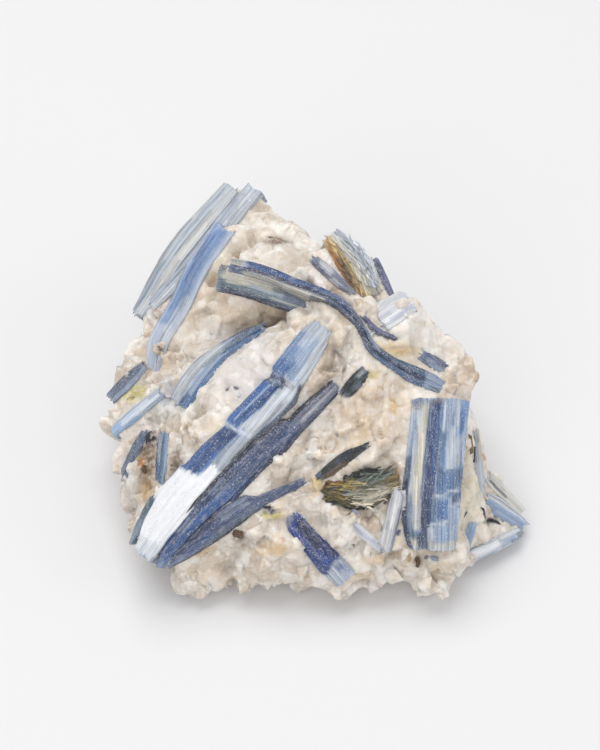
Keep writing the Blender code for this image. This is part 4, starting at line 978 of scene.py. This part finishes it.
def pointed(rng, lean, shortest, longest):
    """(turn, stretch) of a lump that points along lean and a little to either side."""
    pointing = (lean + FACE_U * rng.uniform(-0.4, 0.4)).normalized()
    spun = Matrix.Rotation(rng.uniform(0, math.tau), 3, "Z")
    turn = pointing.to_track_quat("Z", "Y").to_matrix() @ spun
    return turn, Vector((1, rng.uniform(0.7, 1), rng.uniform(shortest, longest)))


def add_knobs(bm, crystals):
    """Adds rounded lumps, pointing down and out, to the rock's lower edge."""
    rng = random.Random("knobs")
    solid = frame["nodes"]["quartz_matrix"].data
    made = 0
    while made < KNOBS:
        found = bare_place(solid, rng, crystals, 1.5)
        if not found:
            continue
        middle, normal = found
        _, v, w = on_face(middle)
        radius = rng.uniform(2, 3.8)
        sunk = middle - normal * radius * rng.uniform(0.5, 0.8) * MM
        if v > KNOB_ZONE[0] or w < KNOB_ZONE[1] or sunk.z < 1.5 * radius * MM:
            continue
        turn, stretch = pointed(rng, normal - FACE_V * 0.6, 1, 1.5)
        add_lump(bm, rng, sunk, radius, 2, stretch, turn, 0.07)
        made += 1


def filled_solid(crystals):
    """The rock with its lumps, and with fatter copies of its crystals in the pockets, as one mesh."""
    bm = bmesh.new()
    bm.from_mesh(frame["nodes"]["quartz_matrix"].data)
    for u, v, top, half_u, half_v, half_w in LUMPS:
        lump = bmesh.ops.create_icosphere(bm, subdivisions=3, radius=1)["verts"]
        for vertex in lump:
            x, y, z = vertex.co
            vertex.co = from_face(u + x * half_u, v + y * half_v, top - half_w + z * half_w)
    add_knobs(bm, crystals)
    for blade in BLADES:
        filler = bmesh.new()
        filler.from_mesh(frame["nodes"][blade.name].data)
        bmesh.ops.remove_doubles(filler, verts=filler.verts[:], dist=1e-6)
        filler.normal_update()
        facing = facing_of(blade)
        for vertex in filler.verts:
            if vertex.normal.dot(facing) < 0:
                vertex.co += vertex.normal * POCKET_FILL * MM
        fat = bpy.data.meshes.new("filler")
        filler.to_mesh(fat)
        filler.free()
        bm.from_mesh(fat)
        bpy.data.meshes.remove(fat)
    bmesh.ops.remove_doubles(bm, verts=bm.verts[:], dist=1e-6)
    return bm


def fine_quartz(crystals):
    """The rock: its solid remade with a fine skin, roughened grain by grain, and sealed to the crystals."""
    quartz = object_from(filled_solid(crystals), "quartz_rock")
    remesh = quartz.modifiers.new("skin", "REMESH")
    remesh.mode = "VOXEL"
    remesh.voxel_size = QUARTZ_VOXEL * MM
    graph = bpy.context.evaluated_depsgraph_get()
    skin = bpy.data.meshes.new_from_object(quartz.evaluated_get(graph))
    quartz.modifiers.clear()

    bm = bmesh.new()
    bm.from_mesh(skin)
    smoothed(bm, 4)
    for vertex in bm.verts:
        vertex.co = banked(vertex.co, crystals)
    smoothed(bm, 3)
    bm.normal_update()
    stain, coarse = stone_layers(bm)
    for vertex in bm.verts:
        standing = smooth_step(0.2 * MM, 3 * MM, vertex.co.z)
        vertex[coarse] = roughness_at(vertex.co)
        height = 0.15 + vertex[coarse] * sum(grain_height(vertex.co, *grain) for grain in GRAINS)
        found = crystals.nearest(vertex.co, CALM_REACH)
        if found:
            height *= smooth_step(0.3, CALM_REACH, found[2])
        vertex.co = sealed(vertex.co + vertex.normal * height * standing * MM, crystals)
        vertex.co.z = max(0.0, vertex.co.z)
        colour, cover = stain_and_shade_at(vertex.co)
        vertex[stain] = (*colour, cover)
    bm.normal_update()
    bm.to_mesh(quartz.data)
    bm.free()
    quartz.data.shade_smooth()
    return quartz


def stone_layers(bm):
    """The layers that the quartz reads: its stains and painted shade, and how coarse its grain is."""
    return bm.verts.layers.float_color.new("stain"), bm.verts.layers.float.new("coarse")


def add_grain(bm, layers, rng, middle, radius, stretch, turn, knock):
    """Adds a knobbly grain of quartz, stretched and then turned."""
    stain, coarse = layers
    colour, cover = stain_and_shade_at(middle)
    for vertex in add_lump(bm, rng, middle, radius, 1, stretch, turn, knock):
        vertex[stain] = (*colour, cover)
        vertex[coarse] = 0.6


def bare_place(skin, rng, crystals, clear):
    """(middle, normal) of one of the skin's faces that no crystal is over or near, or None."""
    polygon = skin.polygons[rng.randrange(len(skin.polygons))]
    middle, normal = polygon.center.copy(), polygon.normal.copy()
    found = crystals.nearest(middle, 3)
    if found and (found[2] < clear or (middle - found[0]).dot(found[1]) < 0):
        return None
    return middle, normal


def loose_grains(quartz, crystals):
    """Small angular grains all over the rock's skin, as one mesh."""
    rng = random.Random("quartz grains")
    bm = bmesh.new()
    layers = stone_layers(bm)
    made = 0
    while made < LOOSE_GRAINS:
        radius = 0.35 + 0.6 * rng.random() ** 2
        found = bare_place(quartz.data, rng, crystals, 1.6 * radius)
        if not found or found[0].z < 2 * radius * MM:
            continue
        axis = Vector((rng.gauss(0, 1), rng.gauss(0, 1), rng.gauss(0, 1)))
        turn = Matrix.Rotation(rng.uniform(0, math.tau), 3, axis)
        stretch = Vector((rng.uniform(0.8, 1.6), rng.uniform(0.7, 1.1), rng.uniform(0.6, 1)))
        sunk = found[0] - found[1] * radius * rng.uniform(0.5, 0.85) * MM
        add_grain(bm, layers, rng, sunk, radius, stretch, turn, 0.14)
        made += 1
    return bm


def edge_crystals(quartz, crystals):
    """Blunt quartz crystals that point down and out along the rock's lower edge, as one mesh."""
    rng = random.Random("edge crystals")
    bm = bmesh.new()
    layers = stone_layers(bm)
    made = 0
    while made < EDGE_CRYSTALS:
        found = bare_place(quartz.data, rng, crystals, 2.4)
        if not found:
            continue
        middle, normal = found
        _, v, w = on_face(middle)
        radius = rng.uniform(1.3, 2.4)
        sunk = middle - normal * radius * 0.8 * MM
        if v > EDGE_ZONE[0] or w < EDGE_ZONE[1] or sunk.z < 2.2 * radius * MM:
            continue
        turn, stretch = pointed(rng, normal + FACE_W * 0.2 - FACE_V * 0.7, 1.1, 1.8)
        add_grain(bm, layers, rng, sunk, radius, stretch, turn, 0.1)
        made += 1
    return bm


def inclusions(quartz):
    """Thin flakes that lie flush in the quartz, one of them painted shade in a hollow, as one mesh."""
    rng = random.Random("inclusions")
    skin = quartz.data
    surface = BVHTree.FromPolygons([vertex.co for vertex in skin.vertices],
                                   [polygon.vertices for polygon in skin.polygons])
    bm = bmesh.new()
    lie, tint, shine = paint_layers(bm)
    for name, u, v, length, width, turn in INCLUSIONS_AND_SHADE:
        point, normal, _, _ = surface.ray_cast(from_face(u, v, 30), -FACE_W)
        angle = math.radians(turn)
        along_it = FACE_U * math.cos(angle) + FACE_V * math.sin(angle)
        along_it = (along_it - normal * along_it.dot(normal)).normalized()
        beside_it = normal.cross(along_it)
        reach = [rng.uniform(0.75, 1.2) for _ in range(FLAKE_SIDES)]
        flake = bmesh.ops.create_cone(bm, cap_ends=True, segments=FLAKE_SIDES, radius1=0.5, radius2=0.4,
                                      depth=1)
        for vertex in flake["verts"]:
            x, y, z = vertex.co
            side = round(math.atan2(y, x) / math.tau * FLAKE_SIDES) % FLAKE_SIDES
            x *= length * reach[side]
            y *= width * reach[side]
            vertex[lie] = Vector((x + 20 * u, y + 20 * v, z))
            vertex[tint] = (*Vector(TONES[name]), 1)
            vertex[shine] = 0
            height = FLAKE_THICK * z - FLAKE_SUNK
            vertex.co = point + (along_it * x + beside_it * y + normal * height) * MM
    bmesh.ops.recalc_face_normals(bm, faces=bm.faces[:])
    return bm


# ---------------------------------------------------------------- materials

def add(tree, kind, inputs=None, **settings):
    """Adds a node with its settings, and gives its inputs their values or links."""
    made = tree.nodes.new(kind)
    for key, value in settings.items():
        setattr(made, key, value)
    for key, value in (inputs or {}).items():
        if isinstance(value, bpy.types.NodeSocket):
            tree.links.new(value, made.inputs[key])
        else:
            made.inputs[key].default_value = value
    return made


def mixed(tree, share, first, second, blend="MIX"):
    """A colour between two colours."""
    made = add(tree, "ShaderNodeMix", data_type="RGBA", blend_type=blend)
    for index, value in ((0, share), (6, first), (7, second)):
        if isinstance(value, bpy.types.NodeSocket):
            tree.links.new(value, made.inputs[index])
        elif index == 0:
            made.inputs[index].default_value = value
        else:
            made.inputs[index].default_value = (*value, 1) if len(value) == 3 else value
    return made.outputs[2]


def maths(tree, operation, *values):
    made = add(tree, "ShaderNodeMath", dict(enumerate(values)), operation=operation)
    return made.outputs[0]


def times(tree, first, second):
    return maths(tree, "MULTIPLY", first, second)


def carried(tree, layer):
    """The outputs of the node that reads one of the mesh's own layers."""
    return add(tree, "ShaderNodeAttribute", attribute_name=layer).outputs


def vectors(tree, operation, *values, output=0):
    made = add(tree, "ShaderNodeVectorMath", dict(enumerate(values)), operation=operation)
    return made.outputs[output]


def ramped(tree, value, low, high):
    """The value stretched so that low becomes 0 and high becomes 1."""
    made = add(tree, "ShaderNodeMapRange", {"Value": value, "From Min": low, "From Max": high})
    return made.outputs[0]


def new_group(name, inputs, outputs):
    """A shader node group with float or vector inputs and float outputs."""
    group = bpy.data.node_groups.new(name, "ShaderNodeTree")
    for label, kind in inputs:
        group.interface.new_socket(label, in_out="INPUT", socket_type=kind)
    for label in outputs:
        group.interface.new_socket(label, in_out="OUTPUT", socket_type="NodeSocketFloat")
    return group, group.nodes.new("NodeGroupInput"), group.nodes.new("NodeGroupOutput")


def new_material(name):
    """(material, its nodes, its shader)"""
    material = bpy.data.materials.new(name)
    material.use_nodes = True
    return material, material.node_tree, material.node_tree.nodes["Principled BSDF"]


def bumped(tree, shader, height, distance):
    """Gives the shader the bumps of this height, whose unit is the distance."""
    bump = add(tree, "ShaderNodeBump", {"Height": height, "Strength": BUMP_STRENGTH, "Distance": distance})
    tree.links.new(bump.outputs[0], shader.inputs["Normal"])


def streaks_group():
    """What runs along a crystal: bands, short streaks, specks that are partly painted glints, worn patches,
    pits, lines, cracks, nicks.
    """
    labels = ["Bands", "Streaks", "Specks", "Worn", "Pits", "Hairlines", "Pale lines", "Cracks", "Nicks"]
    group, given, result = new_group("lengthwise_streaks",
                                     [("Lie", "NodeSocketVector"), ("Scale", "NodeSocketFloat")], labels)
    scaled = add(group, "ShaderNodeVectorMath", {0: given.outputs["Lie"], 3: given.outputs["Scale"]},
                 operation="SCALE")
    lie = scaled.outputs[0]

    def noise_of(along_it, across_it, detail, rough, shift=0.0):
        stretched = vectors(group, "MULTIPLY_ADD", lie, (along_it, across_it, across_it), (shift,) * 3)
        return add(group, "ShaderNodeTexNoise", {"Vector": stretched, "Scale": 1.0, "Detail": detail,
                                                 "Roughness": rough}).outputs[0]

    def lines_of(across_it, thin, shift):
        """Thin straight lines, each broken off here and there."""
        middle = maths(group, "SUBTRACT", noise_of(0.012, across_it, 3, 0.5, shift), 0.5)
        line = ramped(group, maths(group, "ABSOLUTE", middle), thin, 0.0)
        return times(group, line, ramped(group, noise_of(0.12, across_it, 2, 0.5, shift + 5), 0.42, 0.5))

    crowded = ramped(group, noise_of(0.3, 0.9, 3, 0.6, 31), 0.4, 0.58)
    nicked = ramped(group, noise_of(0.25, 0.4, 2, 0.5, 91), 0.46, 0.54)
    masks = {
        "Bands": ramped(group, noise_of(0.03, 1.5, 4, 0.6), 0.4, 0.6),
        "Streaks": ramped(group, noise_of(0.4, 6.0, 6, 0.8), 0.4, 0.62),
        "Specks": times(group, ramped(group, noise_of(2.4, 4.2, 4, 0.8, 7), 0.55, 0.6), crowded),
        "Worn": ramped(group, noise_of(0.45, 1.2, 8, 0.82, 61), 0.53, 0.57),
        "Pits": ramped(group, noise_of(4.2, 8, 3, 0.7, 17), 0.62, 0.68),
        "Hairlines": lines_of(2.4, 0.018, 0),
        "Pale lines": lines_of(1.7, 0.014, 43),
        "Cracks": ramped(group, noise_of(2.2, 0.4, 3, 0.6), 0.67, 0.74),
        "Nicks": times(group, ramped(group, noise_of(3.2, 4.5, 3, 0.75, 83), 0.6, 0.66), nicked),
    }
    for label in labels:
        group.links.new(masks[label], result.inputs[label])
    return group


def crystal_material(name, group, dark, pale, speck_and_glint, worn, roughness, relief):
    """A streaked crystal: its tint darkened and paled lengthwise, with specks, worn patches and cracks."""
    material, tree, shader = new_material(name)
    tint = carried(tree, "tint")["Color"]
    shine = carried(tree, "shine")["Fac"]
    streaks = add(tree, "ShaderNodeGroup", {"Lie": carried(tree, "lie")["Vector"], "Scale": 1.0},
                  node_tree=group).outputs
    # streaks and bands fade where white is marked, which on the broad blade's lower third is a painted
    # reflection; dark nicks show there instead
    calm = maths(tree, "SUBTRACT", 1.0, times(tree, shine, 0.85))

    darker = mixed(tree, 1.0, tint, DARK_BAND, "MULTIPLY")
    paler = mixed(tree, 0.4, tint, TONES["silver"])
    colour = tint
    for label, strength, over in (("Bands", dark, darker), ("Streaks", pale, paler),
                                  ("Hairlines", 0.8, darker), ("Pale lines", pale, paler),
                                  ("Worn", worn, TONES["worn"])):
        colour = mixed(tree, times(tree, times(tree, streaks[label], strength), calm), colour, over)
    for label, strength, over in (("Pits", 0.5, "slate"), ("Cracks", 0.3, "white"),
                                  # the silver specks are partly the crystal's own white specks and partly
                                  # painted glints
                                  ("Specks", speck_and_glint, "silver"), ("Nicks", shine, "ink")):
        colour = mixed(tree, times(tree, streaks[label], strength), colour, TONES[over])
    tree.links.new(colour, shader.inputs["Base Color"])

    rough = maths(tree, "ADD", times(tree, streaks["Streaks"], 0.22), roughness)
    tree.links.new(rough, shader.inputs["Roughness"])
    height = streaks["Streaks"]
    for label, share in (("Bands", 0.5), ("Hairlines", -0.8), ("Pits", -0.8), ("Specks", 0.5),
                         ("Worn", -0.8 * worn)):
        height = maths(tree, "ADD", height, times(tree, streaks[label], share))
    bumped(tree, shader, height, relief * MM)
    shader.inputs["IOR"].default_value = STONE_IOR
    shader.inputs["Specular IOR Level"].default_value = 0.4
    return material


def quartz_material():
    """Milky, sugary quartz: leaning facets, each grain with its own tone, stains and painted shade in one
    hollow, and a soft depth.
    """
    material, tree, shader = new_material("milky_quartz")
    place = add(tree, "ShaderNodeTexCoord").outputs["Object"]
    wobble = add(tree, "ShaderNodeTexNoise", {"Vector": place, "Scale": 900, "Detail": 3}).outputs[1]
    shifted = vectors(tree, "MULTIPLY_ADD", wobble, (GRAIN_WOBBLE,) * 3, place)

    def noise_of(scale, detail, low, high):
        made = add(tree, "ShaderNodeTexNoise", {"Vector": place, "Scale": scale, "Detail": detail,
                                                "Roughness": 0.6})
        return ramped(tree, made.outputs[0], low, high)

    def grains_of(scale, lean):
        """(chance of each grain, another one, height of its leaning facet in mm)"""
        cells = add(tree, "ShaderNodeTexVoronoi", {"Vector": shifted, "Scale": scale}).outputs
        parts = add(tree, "ShaderNodeSeparateColor", {0: cells["Color"]}).outputs
        from_middle = vectors(tree, "SUBTRACT", shifted, cells["Position"])
        leaning = vectors(tree, "SUBTRACT", cells["Color"], (0.5, 0.5, 0.5))
        facet = vectors(tree, "DOT_PRODUCT", from_middle, leaning, output=1)
        return parts[0], parts[1], times(tree, facet, 2 * lean / MM)

    big, big_other, big_facet = grains_of(230, 0.42)
    middling, middling_other, middling_facet = grains_of(580, 0.26)
    small, _, small_facet = grains_of(1500, 0.12)
    coarse = carried(tree, "coarse")["Fac"]
    varied = maths(tree, "ADD", times(tree, coarse, 0.6), 0.4)

    colour = mixed(tree, noise_of(65, 4, 0.35, 0.65), TONES["sand"], TONES["shell"])
    for mask, strength, over in (
            (ramped(tree, big, 0.78, 0.86), times(tree, varied, 0.5), "fawn"),
            (ramped(tree, big, 0.3, 0), 0.45, "honey"),
            (ramped(tree, big_other, 0.5, 1), 0.7, "chalk"),
            (ramped(tree, middling, 0.6, 1), 0.35, "biscuit"),
            (ramped(tree, middling, 0.25, 0), 0.5, "salt"),
            (ramped(tree, small, 0.8, 1), 0.35, "sugar"),
            (noise_of(110, 4, 0.5, 0.68), 0.5, "tea")):
        colour = mixed(tree, times(tree, mask, strength), colour, TONES[over])
    stain = carried(tree, "stain")
    cover = times(tree, stain["Alpha"], noise_of(900, 4, 0.2, 0.55))
    tree.links.new(mixed(tree, cover, colour, stain["Color"]), shader.inputs["Base Color"])

    rough = maths(tree, "ADD", times(tree, middling_other, 0.45), 0.15)
    tree.links.new(rough, shader.inputs["Roughness"])
    height = times(tree, big_facet, coarse)
    for part in (middling_facet, small_facet, times(tree, noise_of(3200, 4, 0, 1), 0.08)):
        height = maths(tree, "ADD", height, part)
    bumped(tree, shader, height, MM)
    shader.inputs["Subsurface Weight"].default_value = 0.6
    shader.inputs["Subsurface Radius"].default_value = (1.0, 0.78, 0.6)
    shader.inputs["Subsurface Scale"].default_value = 2 * MM
    shader.inputs["IOR"].default_value = STONE_IOR
    return material


def crystal_materials():
    """One material for each crystal finish, by the name of its slot."""
    group = streaks_group()
    values = {          # dark bands, pale streaks, specks and painted glints, worn patches, roughness, relief in mm
        "deep_blue": (0.8, 0.2, 0.95, 0.4, 0.14, 0.06),
        "mid_blue": (0.5, 0.28, 0.9, 0.15, 0.14, 0.06),
        "pale_blue": (0.35, 0.5, 0.4, 0.15, 0.2, 0.06),
        "silver_blue": (0.35, 0.5, 0.5, 0.1, 0.2, 0.06),
        "steel_blue": (0.6, 0.35, 0.8, 0.4, 0.18, 0.06),
        "dark_mica": (0.5, 0.1, 0.3, 0.1, 0.25, 0.1),
        "rusty_fibre": (0.3, 0.4, 0.3, 0.15, 0.4, 0.1),
    }
    return {slot: crystal_material("streaked_" + slot, group, *row) for slot, row in values.items()}


# ---------------------------------------------------------------- the studio

def floor():
    bm = bmesh.new()
    bmesh.ops.create_grid(bm, x_segments=1, y_segments=1, size=FLOOR_SIZE / 2)
    made = object_from(bm, "floor")
    material, _, shader = new_material("white_table")
    shader.inputs["Base Color"].default_value = (0.74, 0.74, 0.75, 1)
    shader.inputs["Roughness"].default_value = 0.9
    made.data.materials.append(material)


def soft_light(name, place, aim, size, watts, colour):
    light = bpy.data.lights.new(name, "AREA")
    light.size = size
    light.energy = watts
    light.color = colour
    made = bpy.data.objects.new(name, light)
    made.location = place
    made.rotation_euler = (Vector(aim) - Vector(place)).to_track_quat("-Z", "Y").to_euler()
    bpy.context.scene.collection.objects.link(made)


def studio():
    """White room light, a soft window behind and to the left, and the camera square to the show face."""
    scene = bpy.context.scene
    world = bpy.data.worlds.new("white_room")
    world.use_nodes = True
    sky = world.node_tree.nodes["Background"]
    sky.inputs["Color"].default_value = (0.97, 0.98, 1.0, 1)
    sky.inputs["Strength"].default_value = 0.5
    scene.world = world
    for light in LIGHTS:
        soft_light(*light)

    view = bpy.data.cameras.new("camera")
    view.lens = CAMERA_LENS
    view.clip_start = 0.01
    camera = bpy.data.objects.new("camera", view)
    turn = Matrix((FACE_U, FACE_V, FACE_W)).transposed().to_4x4()
    camera.matrix_world = Matrix.Translation(FACE_MIDDLE + FACE_W * CAMERA_DISTANCE) @ turn
    scene.collection.objects.link(camera)
    scene.camera = camera
    scene.view_settings.view_transform = "Standard"


# ---------------------------------------------------------------- putting it together

def finish_piece(piece, material, replaced):
    piece.data.materials.clear()
    piece.data.materials.append(material)
    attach(piece, "root" if "root" in frame["bodies"] else next(iter(frame["bodies"])))
    if replaced:
        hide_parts(replaced)


def main():
    studio()
    floor()
    materials = crystal_materials()
    laths = [Lath(blade) for blade in BLADES]
    crystals = []
    for lath in laths:
        blade = lath.blade
        piece = object_from(fine_blade(lath), blade.name + "_crystal")
        finish_piece(piece, materials[blade.finish], blade.name)
        crystals.append(piece)
        if blade.splinters:
            shards = object_from(splinters(lath, blade.splinters), blade.name + "_splinters")
            finish_piece(shards, materials[blade.finish], None)
    for lath in laths:
        blade = lath.blade
        if blade.name in FIBRE_LEAN:
            felt = object_from(fibres(lath, FIBRE_LEAN[blade.name]), blade.name + "_fibres")
            finish_piece(felt, materials[blade.finish], None)

    field = CrystalField(laths, crystals)
    quartz = fine_quartz(field)
    milky = quartz_material()
    finish_piece(quartz, milky, "quartz_matrix")
    for name, made in (("quartz_grains", loose_grains), ("edge_crystals", edge_crystals)):
        finish_piece(object_from(made(quartz, field), name), milky, None)
    flakes = object_from(inclusions(quartz), "quartz_inclusions")
    finish_piece(flakes, materials["dark_mica"], None)


main()
